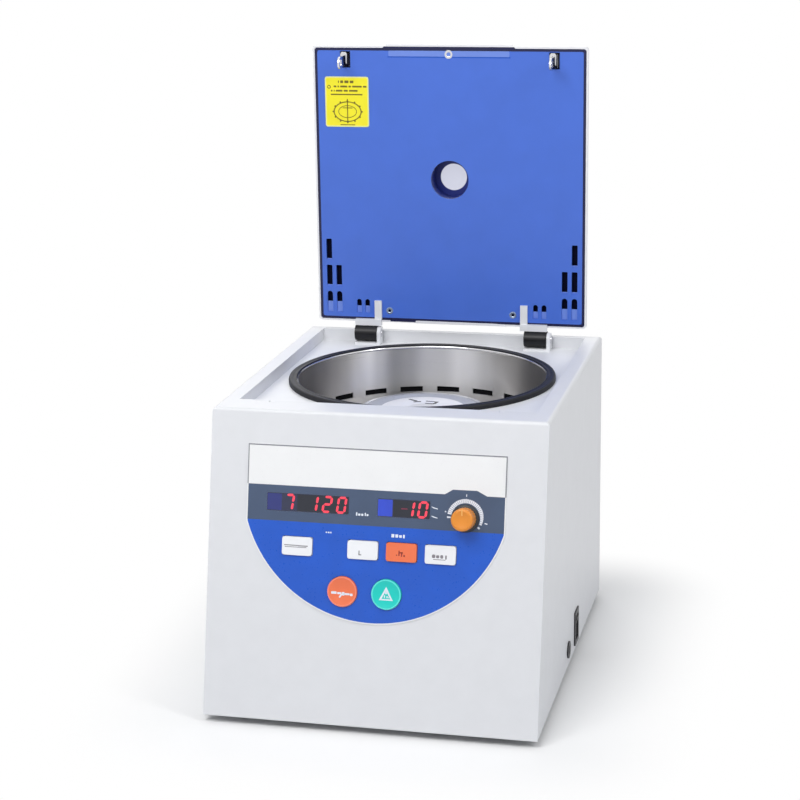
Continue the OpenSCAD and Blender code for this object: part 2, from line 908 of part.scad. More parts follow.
module rotor() {
    floor_z = rotor_h - rotor_pocket;
    seat_z = rotor_h - lid_plate_t;
    color("lightgray") at_spindle() translate([0, 0, rotor_z]) difference() {
        rotate_extrude() polygon([
            [0, 0], [rotor_foot_r, 0], [rotor_r, rotor_h - rotor_shoulder - rotor_band],
            [rotor_r, rotor_h - rotor_shoulder], [rotor_wall_r, rotor_h], [rotor_lid_r + bore_gap, rotor_h],
            [rotor_lid_r + bore_gap, seat_z], [rotor_lid_r - rotor_seat_w, seat_z],
            [rotor_lid_r - rotor_seat_w, floor_z], [0, floor_z]]);
        translate([0, 0, -past]) cylinder(r = spindle_tip_r + bore_gap, h = rotor_h + 2 * past);
        for (i = [0 : tube_count - 1]) rotate([0, 0, i * 360 / tube_count])
            translate([tube_mouth_r, 0, floor_z]) rotate([0, 180 - tube_tilt, 0])
                translate([0, 0, -tube_d]) cylinder(r = tube_d / 2, h = tube_depth + tube_d, $fn = 32);
    }
}

module rotor_nut() {
    color("silver") at_spindle() translate([0, 0, rotor_top_z - rotor_pocket]) difference() {
        cylinder(r = nut_r, h = nut_h, $fn = 6);
        translate([0, 0, -past]) cylinder(r = spindle_tip_r + bore_gap, h = nut_h + 2 * past);
    }
}

module rotor_lid() {
    color("whitesmoke") at_spindle() translate([0, 0, rotor_top_z - lid_plate_t]) difference() {
        cylinder(r = rotor_lid_r - bore_gap, h = lid_plate_t);
        translate([0, 0, lid_plate_t - disc_t / 2]) cylinder(r = lid_disc_r + slip, h = disc_t);
        translate([0, 0, -past]) cylinder(r = nut_r, h = lid_plate_t + 2 * past);
    }
}

module rotor_lid_disc() {
    color("white") at_spindle() translate([0, 0, rotor_top_z - disc_t / 2]) {
        cylinder(r = lid_disc_r, h = disc_t);
        translate([0, 0, -lid_plate_t + disc_t / 2]) cylinder(r = nut_r - bore_gap, h = lid_plate_t);
    }
}

// ---- Lid, drawn open ----

module lid_body(inset, face) {
    back = -lid_back + inset;
    edge = -lid_face - lid_edge;
    half = lid_w / 2 - inset;
    low = lid_tail + inset;
    high = lid_top - inset;
    intersection() {
        along_y(low, high - low) polygon([[-half, face], [half, face], [half, edge], [half - lid_taper, back],
            [lid_taper - half, back], [-half, edge]]);
        along_x(lid_w) polygon([[low, face], [high, face], [high, edge], [high - lid_taper, back],
            [low + lid_taper, back], [low, edge]]);
        translate([0, (low + high) / 2, -2 * lid_back]) linear_extrude(4 * lid_back)
            rounded_square(2 * half, high - low, lid_corner_r - inset / 2);
    }
}

module liner_screw_places() {
    for (side = [-1, 1]) translate([side * liner_screw_x, liner_screw_up, 0]) children();
    translate([0, lid_top - grip_screw_in, 0]) children();
}

module striker_places() {
    for (side = [-1, 1]) translate([side * striker_x, striker_up, 0]) children();
}

module lid_shell() {
    inner = -lid_back + lid_wall;
    color("whitesmoke") on_lid() difference() {
        union() {
            difference() {
                lid_body(0, -lid_face);
                lid_body(lid_wall, past);
            }
            translate([-grip_w / 2, lid_top - lid_wall, -lid_face - lid_edge])
                cube([grip_w, lid_wall + grip_out, lid_edge]);
            liner_screw_places() translate([0, 0, inner - lid_wall / 2])
                cylinder(r = boss_r, h = -lid_face - liner_t - inner + lid_wall / 2);
            striker_places() translate([-striker_foot / 2, -striker_foot / 2, inner - lid_wall / 2])
                cube([striker_foot, striker_foot, -lid_face - striker_root - inner + lid_wall / 2]);
        }
        translate([0, tunnel_up, -lid_back - past]) cylinder(r = window_r + bore_gap, h = 2 * lid_back);
        liner_screw_places() translate([0, 0, -lid_face - liner_t - boss_deep])
            cylinder(r = liner_screw_r + bore_gap, h = boss_deep + past);
    }
}

module air_slots() {
    for (side = [-1, 1]) {
        for (i = [0 : 2]) translate([side * air_outer_x, air_low + air_h / 2 + i * air_pitch, 0])
            cube([air_w, air_h, 4 * liner_t], center = true);
        for (i = [0 : 1]) translate([side * air_inner_x, air_low + air_h / 2 + i * air_pitch, 0])
            cube([air_w, air_h, 4 * liner_t], center = true);
        for (x = air_small_x) translate([side * x, air_low + air_small_h / 2, 0])
            cube([air_small_w, air_small_h, 4 * liner_t], center = true);
    }
}

module liner_outline(grow) {
    w = lid_w - 2 * (lid_wall + liner_fit) + 2 * grow;
    low = lid_tail + lid_wall + liner_fit - grow;
    high = lid_top - lid_wall - liner_fit + grow;
    translate([0, (low + high) / 2]) rounded_square(w, high - low, lid_corner_r - lid_wall / 2);
}

module lid_liner() {
    color("royalblue") on_lid() difference() {
        translate([0, 0, -lid_face - liner_t]) linear_extrude(liner_t) liner_outline(0);
        translate([0, 0, -lid_face - rebate_deep]) linear_extrude(rebate_deep + past) difference() {
            liner_outline(past);
            liner_outline(-rebate_w);
        }
        translate([0, 0, -lid_face - liner_t / 2]) air_slots();
        translate([0, tunnel_up, -2 * liner_t]) cylinder(r = tunnel_r, h = 4 * liner_t);
        striker_places() translate([0, striker_hole_up, 0])
            cube([striker_hole_w, striker_hole_h, 4 * liner_t], center = true);
        liner_screw_places() {
            translate([0, 0, -2 * liner_t]) cylinder(r = liner_screw_r + bore_gap, h = 4 * liner_t);
            translate([0, 0, -lid_face - head_room])
                cylinder(r = liner_head_r + bore_gap, h = head_room + past);
        }
    }
}

module lid_tunnel() {
    low = -lid_back + lid_wall;
    h = -lid_face - liner_t - low;
    color("navy") on_lid() translate([0, tunnel_up, low]) difference() {
        cylinder(r = tunnel_r + lid_wall, h = h);
        translate([0, 0, window_t - lid_wall]) cylinder(r = tunnel_r, h = h);
        translate([0, 0, -past]) cylinder(r = window_r - window_lip, h = h);
    }
}

module lid_window() {
    color("azure", 0.5) on_lid() translate([0, tunnel_up, -lid_back])
        cylinder(r = window_r, h = lid_wall);
}

module lid_strikers() {
    color("silver") on_lid() striker_places() translate([0, 0, -lid_face]) {
        difference() {
            translate([-striker_t / 2, -striker_w / 2, -striker_root + striker_foot_t])
                cube([striker_t, striker_w, striker_len + striker_root - striker_foot_t]);
            translate([0, 0, striker_window_at])
                cube([2 * striker_t, striker_window, striker_window], center = true);
        }
        translate([-striker_foot / 2, -striker_foot / 2, -striker_root])
            cube([striker_foot, striker_foot, striker_foot_t]);
    }
}

module liner_screws() {
    len = liner_t - head_room + boss_deep - past;
    color("silver") on_lid() liner_screw_places() translate([0, 0, -lid_face - head_room]) {
        cylinder(r = liner_head_r, h = liner_head_h);
        translate([0, 0, -len]) cylinder(r = liner_screw_r, h = len);
    }
}

module lid_label() {
    color("yellow") on_lid() translate([label_x, label_up, -lid_face]) linear_extrude(label_t)
        rounded_square(label_w, label_h, 1);
}

// ---- Hinges ----

module hinge_arms() {
    low = barrel_r + arm_gap;
    color("gainsboro") on_lid() for (side = [-1, 1]) {
        translate([side * strap_x - strap_w / 2, low, -lid_face]) cube([strap_w, strap_up - low, strap_t]);
        foot_start = side > 0 ? strap_x - strap_w / 2 : barrel_start(-1);
        foot_end = side > 0 ? barrel_start(1) + barrel_len : -strap_x + strap_w / 2;
        translate([foot_start, low, -lid_face])
            cube([foot_end - foot_start, arm_foot_t, lid_face + arm_foot_front]);
    }
}

module hinge_barrels() {
    color("black") placed() for (side = [-1, 1]) translate([barrel_start(side), hinge_y, hinge_z])
        difference() {
            x_cylinder(barrel_r, barrel_len);
            translate([-past, 0, 0]) x_cylinder(pin_d / 2 + bore_gap, barrel_len + 2 * past);
        }
}

module hinge_pins() {
    color("dimgray") placed() for (side = [-1, 1]) translate([barrel_start(side) + 1, hinge_y, hinge_z]) {
        x_cylinder(pin_d / 2, barrel_len - 1 + ear_gap + ear_t);
        translate([barrel_len - 1 + ear_gap + ear_t, 0, 0]) x_cylinder(pin_head_r, pin_head_h);
    }
}

module hinge_brackets() {
    color("gainsboro") placed() for (side = [-1, 1]) translate([barrel_start(side), hinge_y, 0]) {
        translate([0, -flange_front, deck_z])
            cube([barrel_len + ear_gap + ear_t, flange_front + flange_rear, flange_h]);
        translate([barrel_len + ear_gap, 0, hinge_z]) difference() {
            union() {
                x_cylinder(ear_r, ear_t);
                translate([0, -ear_r, deck_z - hinge_z]) cube([ear_t, ear_r + flange_rear, hinge_z - deck_z]);
            }
            translate([-past, 0, 0]) x_cylinder(pin_d / 2 + bore_gap, ear_t + 2 * past);
        }
    }
}

// ---- Lid lock ----

module lock_frame() {
    guide_w = frame_y - lock_y + lock_bar_w / 2 + guide_wall;
    low = lock_bar_z - guide_wall;
    top = deck_z - deck_t;
    color("slategray") placed() difference() {
        union() {
            translate([-frame_x, frame_y, frame_low]) cube([2 * frame_x, frame_t, top - frame_low]);
            translate([-frame_x, frame_y, top - frame_t]) cube([2 * frame_x, frame_flange, frame_t]);
            for (side = [-1, 1]) translate([side * guide_x - guide_l / 2, frame_y - guide_w, low])
                cube([guide_l, guide_w, lock_bar_t + 2 * guide_wall]);
        }
        translate([-frame_x, lock_y - lock_bar_w / 2 - slip, lock_bar_z - slip / 2])
            cube([2 * frame_x, lock_bar_w + 2 * slip, lock_bar_t + slip]);
    }
}

module lock_bar() {
    back = -striker_t / 2 - lock_reach - lock_pin_l - finger_t;
    y0 = lock_y - lock_bar_w / 2;
    color("silver") placed() {
        translate([back - striker_x, y0, lock_bar_z])
            cube([2 * striker_x + finger_t, lock_bar_w, lock_bar_t]);
        for (side = [-1, 1]) translate([side * striker_x + back, 0, 0]) {
            translate([0, y0, lock_bar_z])
                cube([finger_t, lock_bar_w, lock_pin_z + lock_pin_r + 1 - lock_bar_z]);
            translate([finger_t / 2, lock_y, lock_pin_z]) x_cylinder(lock_pin_r, lock_pin_l + finger_t / 2);
        }
        translate([plunger_x, y0, solenoid_z - plunger_r])
            cube([finger_t, lock_bar_w, lock_bar_z - solenoid_z + plunger_r + lock_bar_t / 2]);
        translate([plunger_x - plunger_l, lock_y, solenoid_z])
            x_cylinder(plunger_r, plunger_l + finger_t / 2);
    }
}

module lock_solenoid() {
    color("peru") placed() difference() {
        translate([-solenoid_l, lock_y - solenoid_r, solenoid_z - solenoid_r])
            cube([solenoid_l, frame_y - lock_y + solenoid_r, 2 * solenoid_r]);
        translate([-solenoid_l / 2, lock_y, solenoid_z]) x_cylinder(plunger_r + bore_gap, solenoid_l);
    }
}

// ---- Power parts ----

module power_switch_body() {
    edge = switch_rim + base_fit;
    room = rocker_t + 2;
    color("black") placed() translate([body_w / 2, switch_y, switch_z]) difference() {
        union() {
            along_x_from(0, flange_t) rounded_square(switch_w, switch_h, 1);
            along_x_from(-switch_depth, switch_depth)
                square([switch_w - 2 * edge, switch_h - 2 * edge], center = true);
        }
        along_x_from(-room, room + flange_t + past) square([rocker_w(), rocker_h()], center = true);
        translate([-pivot_in, 0, 0]) rotate([90, 0, 0])
            cylinder(r = trunnion_r + bore_gap, h = rocker_w() + 2 * trunnion_l, center = true);
    }
}

function rocker_w() = switch_w - 2 * (switch_rim + base_fit + switch_wall);
function rocker_h() = switch_h - 2 * (switch_rim + base_fit + switch_wall);

// Extrudes a (y, z) drawing along x, from x0
module along_x_from(x0, len) {
    translate([x0, 0, 0]) rotate([90, 0, 90]) linear_extrude(len) children();
}

module power_rocker() {
    w = rocker_w() - 2 * slip;
    half = rocker_h() / 2 - slip - 1;
    out = (pivot_in + side_proud - half * sin(rocker_tilt)) / cos(rocker_tilt);
    dip = half * tan(rocker_tilt);
    pivot_x = body_w / 2 - pivot_in;
    color("black") placed() translate([pivot_x, switch_y, switch_z]) rotate([90, rocker_tilt, 0]) {
        linear_extrude(w, center = true) polygon([
            [-rocker_t / 2, -half / 2], [-rocker_t / 2, half / 2], [0, half],
            [out, half], [out - dip, 0], [out, -half], [0, -half]]);
        cylinder(r = trunnion_r, h = w + 2 * trunnion_l, center = true);
    }
}

module breaker_body() {
    color("dimgray") placed() translate([body_w / 2, breaker_y, breaker_z]) difference() {
        union() {
            x_cylinder(breaker_r, flange_t);
            translate([-breaker_depth, 0, 0]) x_cylinder(breaker_r - switch_rim, breaker_depth);
        }
        translate([-button_room, 0, 0]) x_cylinder(button_r, button_room + flange_t + past);
    }
}

module breaker_button() {
    start = breaker_travel + slip - button_room;
    color("black") placed() translate([body_w / 2 + start, breaker_y, breaker_z])
        x_cylinder(button_r - slip, flange_t + rocker_proud / 2 - start);
}

module power_inlet() {
    color("black") placed() translate([inlet_x, top_depth + rear_t, inlet_z]) {
        difference() {
            union() {
                along_y(0, rear_t) rounded_square(inlet_w + 2 * inlet_rim, inlet_h + 2 * inlet_rim, 2);
                along_y(-inlet_depth, inlet_depth)
                    square([inlet_w - base_fit, inlet_h - base_fit], center = true);
            }
            along_y(inlet_floor - inlet_depth, inlet_depth)
                square([inlet_w - 2 * inlet_wall, inlet_h - 2 * inlet_wall], center = true);
        }
    }
}

module inlet_pins() {
    y = top_depth + rear_t + inlet_floor - inlet_depth;
    color("silver") placed() translate([inlet_x, y, inlet_z]) for (p = inlet_pin_places)
        translate([p[0], 0, p[1]]) along_y(0, inlet_depth - 2 * inlet_floor) square([2, 4], center = true);
}

module power_board() {
    w = power_board_w;
    l = power_board_l;
    color("darkgreen") placed() translate([power_board_x, power_board_y, base_z + base_t]) {
        translate([-w / 2, -l / 2, power_board_h]) cube([w, l, board_t]);
        for (sx = [-1, 1], sy = [-1, 1])
            translate([sx * (w / 2 - post_inset), sy * (l / 2 - post_inset), 0])
                cylinder(r = post_r, h = power_board_h);
    }
}

module board_components() {
    z0 = base_z + base_t + power_board_h + board_t;
    color("darkslateblue") placed() translate([power_board_x, power_board_y, z0]) {
        translate(transformer_place) cube(transformer_size);
        for (i = [0 : 2]) translate([4 + 19 * i, -16, 0]) cylinder(r = capacitor_r, h = capacitor_h);
        translate(heat_sink_place) cube(heat_sink_size);
        for (i = [0 : 1]) translate([2 + 26 * i, 2, 0]) cube(relay_size);
    }
}

casing();
rear_panel();
base_plate();
case_screws();
rubber_feet();
top_deck();
deck_screws();
chamber_bowl();
chamber_gasket();
spindle_boot();
panel_overlay();
display_windows();
display_modules();
control_board();
board_posts();
key_switches();
knob_encoder();
key_left();
key_middle();
key_orange();
key_right();
key_stop();
key_start();
dial_knob();
knob_skirt();
knob_shaft();
motor_housing();
motor_cap();
motor_stator();
motor_bearings();
motor_plate();
motor_mounts();
drive_spindle();
motor_magnet();
rotor();
rotor_nut();
rotor_lid();
rotor_lid_disc();
lid_shell();
lid_liner();
lid_tunnel();
lid_window();
lid_strikers();
liner_screws();
lid_label();
hinge_arms();
hinge_barrels();
hinge_pins();
hinge_brackets();
lock_frame();
lock_bar();
lock_solenoid();
power_switch_body();
power_rocker();
breaker_body();
breaker_button();
power_inlet();
power_board();
board_components();
inlet_pins();
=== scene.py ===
import json
import math
import bmesh
import bpy
from mathutils import Matrix, Vector
from mathutils.geometry import delaunay_2d_cdt


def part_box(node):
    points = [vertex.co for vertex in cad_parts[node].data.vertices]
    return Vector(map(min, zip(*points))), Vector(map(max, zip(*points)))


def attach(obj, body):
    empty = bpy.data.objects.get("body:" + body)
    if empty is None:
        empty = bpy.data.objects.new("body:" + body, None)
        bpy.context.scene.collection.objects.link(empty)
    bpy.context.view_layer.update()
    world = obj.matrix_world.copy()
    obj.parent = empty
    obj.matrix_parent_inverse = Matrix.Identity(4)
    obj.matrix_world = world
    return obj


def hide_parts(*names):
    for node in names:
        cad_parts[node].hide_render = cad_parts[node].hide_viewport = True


# Frame and places. Lengths of pieces are in millimetres, and the base matrices below scale them to metres.
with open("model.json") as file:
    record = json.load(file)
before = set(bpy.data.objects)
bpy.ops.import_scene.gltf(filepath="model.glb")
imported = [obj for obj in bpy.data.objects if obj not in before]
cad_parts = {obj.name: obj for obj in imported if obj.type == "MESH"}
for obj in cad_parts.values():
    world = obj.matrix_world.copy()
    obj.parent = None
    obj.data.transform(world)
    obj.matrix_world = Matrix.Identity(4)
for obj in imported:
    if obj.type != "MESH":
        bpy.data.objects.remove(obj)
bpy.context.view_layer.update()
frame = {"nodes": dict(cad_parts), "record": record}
scene = bpy.context.scene
scene.view_settings.view_transform = "Standard"
MM = Matrix.Scale(0.001, 4)
case_lo, case_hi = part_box("casing")
joints = {j["name"]: j for j in frame["record"]["behaviour"]["joints"]}
HINGE = Vector(joints["lid_hinge"]["pos_m"])
AXIS = Vector(joints["spindle_spin"]["pos_m"])
LEAN_RUN = 0.0516           # how far the front's top edge lies behind its foot, in metres
MID_X = (case_lo.x + case_hi.x) / 2
EDGE_Y = case_lo.y + LEAN_RUN
LEAN = math.atan2(LEAN_RUN, case_hi.z - case_lo.z)


def place(x, y, z, turn=None):
    """Matrix from millimetres about a point in the row frame, given in metres."""
    return Matrix.Translation((x, y, z)) @ (turn or Matrix.Identity(4)) @ MM


# FRONT: x to the right, y up the sloped front from its top edge, z out of it
# LID: x to the right, y up the open lid from its hinge, z out of its liner
# SPIN: the chamber's axis, z up from the bench
FRONT = place(MID_X, EDGE_Y, case_hi.z, Matrix.Rotation(math.pi / 2 - LEAN, 4, "X"))
LID = place(MID_X, HINGE.y, HINGE.z, Matrix.Rotation(math.pi / 2, 4, "X"))
SPIN = place(AXIS.x, AXIS.y, 0)


def at(base, x, y, turn=0.0):
    """A base matrix moved to a point of its plane and turned there."""
    return base @ Matrix.Translation((x, y, 0)) @ Matrix.Rotation(turn, 4, "Z")


def centre(name, base):
    """Middle of a CAD node's box in the millimetres of a base matrix."""
    lo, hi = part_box(name)
    return base.inverted() @ ((lo + hi) / 2)


# Camera: its x, y and z axes, and its place from the casing's left side, the front's top edge and the bench
CAMERA_AXES = ((0.97353, 0.22809, -0.01496), (-0.04469, 0.25414, 0.96613), (0.22417, -0.93989, 0.25761))
CAMERA_PLACE = (0.4920, -1.4459, 0.6397)
LENS, SENSOR, FAR = 92.78, 36, 100
cam_data = bpy.data.cameras.new("camera")
cam = bpy.data.objects.new("camera", cam_data)
bpy.context.collection.objects.link(cam)
view = Matrix(CAMERA_AXES).transposed().to_4x4()
view.translation = [a + b for a, b in zip((case_lo.x, EDGE_Y, case_lo.z), CAMERA_PLACE)]
cam.matrix_world = view
cam_data.sensor_width = SENSOR
cam_data.lens = LENS
cam_data.clip_end = FAR
scene.camera = cam


# Node helpers
def node(tree, kind, inputs=None, **settings):
    """A shader node with its settings and inputs."""
    made = tree.nodes.new("ShaderNode" + kind)
    for key, value in settings.items():
        setattr(made, key, value)
    feed(tree, made, inputs or {})
    return made


def feed(tree, target, inputs):
    """Gives each input, by its name or place, a value or the output that feeds it."""
    for key, value in inputs.items():
        if isinstance(value, bpy.types.NodeSocket):
            tree.links.new(value, target.inputs[key])
        else:
            target.inputs[key].default_value = value


def ramp(tree, factor, stops, interpolation="LINEAR"):
    """Colour ramp from (position, colour) stops."""
    made = node(tree, "ValToRGB", {"Fac": factor})
    made.color_ramp.interpolation = interpolation
    elements = made.color_ramp.elements
    elements.remove(elements[1])
    for k, (position, colour) in enumerate(stops):
        e = elements.new(position) if k else elements[0]
        e.position = position
        e.color = (*colour, 1)
    return made.outputs["Color"]


def new_material(name):
    m = bpy.data.materials.new(name)
    m.use_nodes = True
    return m, m.node_tree, m.node_tree.nodes["Principled BSDF"]


def grain_finish(tree, shader, fine, rough, rough_vary, bump, bump_size):
    """Roughness and bump of a surface from one fine noise."""
    span = node(tree, "MapRange", {"To Min": max(0.02, rough - rough_vary), "To Max": min(1, rough + rough_vary),
                                   "Value": fine})
    feed(tree, shader, {"Roughness": span.outputs["Result"]})
    if bump:
        b = node(tree, "Bump", {"Strength": bump, "Distance": bump_size, "Height": fine})
        feed(tree, shader, {"Normal": b.outputs["Normal"]})


# Materials
def material(name, base, rough=0.5, metal=0.0, vary=0.04, grain=300.0, bump=0.05, bump_size=0.0002,
             rough_vary=0.08, stretch=(1, 1, 1), **sockets):
    """Procedural finish: cloudy colour, roughness that varies with a fine grain, and a bump of the same grain."""
    m, tree, shader = new_material(name)
    coord = node(tree, "TexCoord")
    mapping = node(tree, "Mapping", {"Scale": stretch, "Vector": coord.outputs["Object"]})
    where = mapping.outputs["Vector"]
    cloud = node(tree, "TexNoise", {"Scale": grain / 12, "Detail": 3, "Vector": where}).outputs["Fac"]
    fine = node(tree, "TexNoise", {"Scale": grain, "Detail": 4, "Vector": where}).outputs["Fac"]
    dark = [c * (1 - vary) for c in base]
    light = [min(1, c * (1 + vary)) for c in base]
    feed(tree, shader, {"Base Color": ramp(tree, cloud, ((0.3, dark), (0.7, light))), "Metallic": metal})
    grain_finish(tree, shader, fine, rough, rough_vary, bump, bump_size)
    feed(tree, shader, {key.replace("_", " "): value for key, value in sockets.items()})
    return m


def srgb(r, g, b):
    """Linear colour from screen values of 0 to 255."""
    return tuple((c / 255 / 12.92) if c <= 10 else ((c / 255 + 0.055) / 1.055) ** 2.4 for c in (r, g, b))


POWDER = dict(rough=0.42, grain=900, bump=0.12, bump_size=0.0001, vary=0.012, Coat_Weight=0.15,
              Coat_Roughness=0.25)
M = {
    "casing": material("casing_powder_coat", srgb(226, 227, 230), **POWDER),
    "deck": material("deck_powder_coat", srgb(232, 233, 236), **POWDER),
    "plate": material("zinc_plate", (0.42, 0.43, 0.45), rough=0.38, metal=1, vary=0.12, grain=60, bump=0.03),
    "bright": material("bright_steel", (0.72, 0.72, 0.74), rough=0.16, metal=1, vary=0.05, grain=400, bump=0.02),
    "gasket": material("gasket_rubber", (0.007, 0.007, 0.010), rough=0.5, vary=0.25, grain=500, bump=0.15,
                       Specular_IOR_Level=0.3),
    "rubber": material("grey_rubber", (0.06, 0.06, 0.065), rough=0.7, vary=0.2, grain=400, bump=0.2),
    "film_white": material("film_white", srgb(242, 242, 242), rough=0.3, vary=0.01, grain=700, bump=0.03),
    "film_slate": material("film_slate", srgb(69, 85, 112), rough=0.32, vary=0.05, grain=700, bump=0.04),
    # The film's printed blue, also used for a line of painted shadow under the lid's grip.
    "film_blue_and_grip_shadow": material("film_blue_and_grip_shadow", srgb(24, 88, 199), rough=0.3, vary=0.05, grain=700, bump=0.04),
    "film_grey": material("film_grey_line", srgb(134, 135, 141), rough=0.4, vary=0.03, grain=700, bump=0.02),
    "print_white": material("print_white", srgb(232, 238, 248), rough=0.45, vary=0.03, grain=900, bump=0.03),
    "print_dark": material("print_dark", srgb(134, 130, 136), rough=0.5, vary=0.1, grain=900, bump=0.03),
    "print_red": material("print_red", srgb(140, 40, 35), rough=0.5, vary=0.1, grain=900, bump=0.03),
    "glass_dark": material("display_glass", srgb(34, 40, 72), rough=0.12, vary=0.06, grain=200, bump=0.0,
                           rough_vary=0.03, Coat_Weight=0.3, Coat_Roughness=0.05),
    "cell_blue": material("display_cell_blue", srgb(50, 78, 208), rough=0.2, vary=0.06, bump=0.0),
    "cell_violet": material("display_cell_violet", srgb(44, 52, 118), rough=0.2, vary=0.08, bump=0.0),
    "cell_dark": material("display_cell_dark", srgb(34, 38, 50), rough=0.2, vary=0.1, bump=0.0),
    "digit": material("digit_red", srgb(246, 70, 92), rough=0.4, vary=0.08, grain=500, bump=0.0,
                      Emission_Color=(0.9, 0.045, 0.07, 1), Emission_Strength=0.35),
    "digit_dim": material("digit_dim", srgb(120, 40, 66), rough=0.4, vary=0.1, grain=500, bump=0.0),
    "key_white": material("key_white", srgb(244, 245, 248), rough=0.38, vary=0.012, grain=800),
    "key_orange": material("key_orange", srgb(242, 120, 78), rough=0.4, vary=0.03, grain=800),
    "key_orange_rim": material("key_orange_rim", srgb(250, 138, 112), rough=0.4, vary=0.03, grain=800),
    "key_turq": material("key_turquoise", srgb(18, 208, 196), rough=0.4, vary=0.03, grain=800),
    "key_turq_rim": material("key_turquoise_rim", srgb(96, 232, 222), rough=0.4, vary=0.03, grain=800),
    "knob": material("knob_orange", srgb(232, 144, 48), rough=0.36, vary=0.03, grain=600, bump=0.06),
    "knob_mark": material("knob_edge", srgb(246, 184, 100), rough=0.4, vary=0.03, grain=600),
    "black": material("black_plastic", (0.018, 0.018, 0.02), rough=0.4, vary=0.2, grain=700, bump=0.12),
    "board": material("circuit_board", (0.02, 0.12, 0.05), rough=0.4, vary=0.2, grain=200, bump=0.1),
    "led": material("display_module", (0.12, 0.01, 0.012), vary=0.1),
    "copper": material("wound_copper", (0.5, 0.2, 0.09), rough=0.35, metal=1, vary=0.15, grain=250, bump=0.2),
    "cast": material("motor_casting", (0.2, 0.21, 0.23), rough=0.6, vary=0.1, grain=260, bump=0.25),
    "alloy": material("rotor_alloy", (0.60, 0.61, 0.63), rough=0.3, metal=0.85, vary=0.05, grain=500, bump=0.03,
                      stretch=(1, 1, 6)),
    "cover": material("rotor_cover", srgb(176, 178, 184), rough=0.3, vary=0.02, grain=500, bump=0.03),
    "disc": material("cover_disc", srgb(240, 240, 243), rough=0.34, vary=0.015, grain=500, bump=0.03),
    "shell": material("lid_shell", srgb(236, 236, 240), rough=0.34, vary=0.012, grain=800, bump=0.06),
    "liner": material("lid_liner", srgb(68, 110, 212), rough=0.36, vary=0.03, grain=500, Coat_Weight=0.2,
                      Coat_Roughness=0.2),
    # Painted light: a lighter copy of the liner's blue for the faces of the liner that light from above falls on.
    "liner_painted_light": material("liner_painted_light", srgb(112, 142, 224), rough=0.34, vary=0.03, grain=500),
    "screw_blue": material("screw_ring", (0.34, 0.42, 0.56), rough=0.26, metal=0.9, vary=0.08, bump=0.03),
    # Painted shade: a dark navy for the lid's groove, gaps, grip edge and hook holes, where shade falls.
    "navy": material("liner_navy_painted_shade", srgb(2, 6, 62), rough=0.4, vary=0.1, grain=500, bump=0.04),
    "tunnel": material("tunnel_blue", srgb(8, 34, 122), rough=0.4, vary=0.08, grain=400),
    "label": material("label_yellow", srgb(250, 238, 40), rough=0.42, vary=0.02, grain=800, bump=0.03),
    "label_edge": material("label_edge", srgb(240, 240, 150), rough=0.42, vary=0.02, grain=800, bump=0.03),
    "label_ink": material("label_ink", srgb(116, 104, 22), rough=0.5, vary=0.1, grain=900, bump=0.02),
    "barrel": material("barrel_black", (0.008, 0.008, 0.01), rough=0.34, vary=0.2, bump=0.06,
                       Specular_IOR_Level=0.3),
    "window": material("tunnel_window", srgb(228, 230, 244), rough=0.22, vary=0.02, bump=0.02, rough_vary=0.04,
                       Transmission_Weight=0.85, IOR=1.2),
    # Painted shade: a near-black blue for the backs of the lid's slots and the screws' sockets.
    "shade": material("painted_slot_shade", srgb(2, 4, 34), rough=0.7, vary=0.1, grain=400, Specular_IOR_Level=0.1),
    # Painted shade: near black for the dark space behind the bowl's air slots.
    "gap": material("slot_gap_painted_shade", (0.004, 0.004, 0.005), rough=0.8, vary=0.2, grain=400, Specular_IOR_Level=0.1),
}

# Painted reflection: bright and dark bands painted into the steel's colour round the chamber, in place of the
# lamps' reflections: degrees about its axis and a share of the steel's colour
PAINTED_REFLECTION_BANDS = ((-180, 0.9), (-120, 0.8), (-60, 1.1), (0, 0.8), (36, 0.78), (50, 0.94), (63, 1.0), (70, 1.15),
         (78, 1.38), (84, 1.3), (92, 0.96), (102, 1.0), (109, 0.8), (116, 0.68), (124, 1.1), (130, 1.42),
         (136, 1.34), (143, 1.12), (150, 1.05), (158, 0.85), (180, 0.9))
LINES = (0.8, 2600, 2600)   # scale of the brushed lines by angle, distance from the axis and height
CLOUDS = (0.9, 3, 3)        # and of the slow change of tone


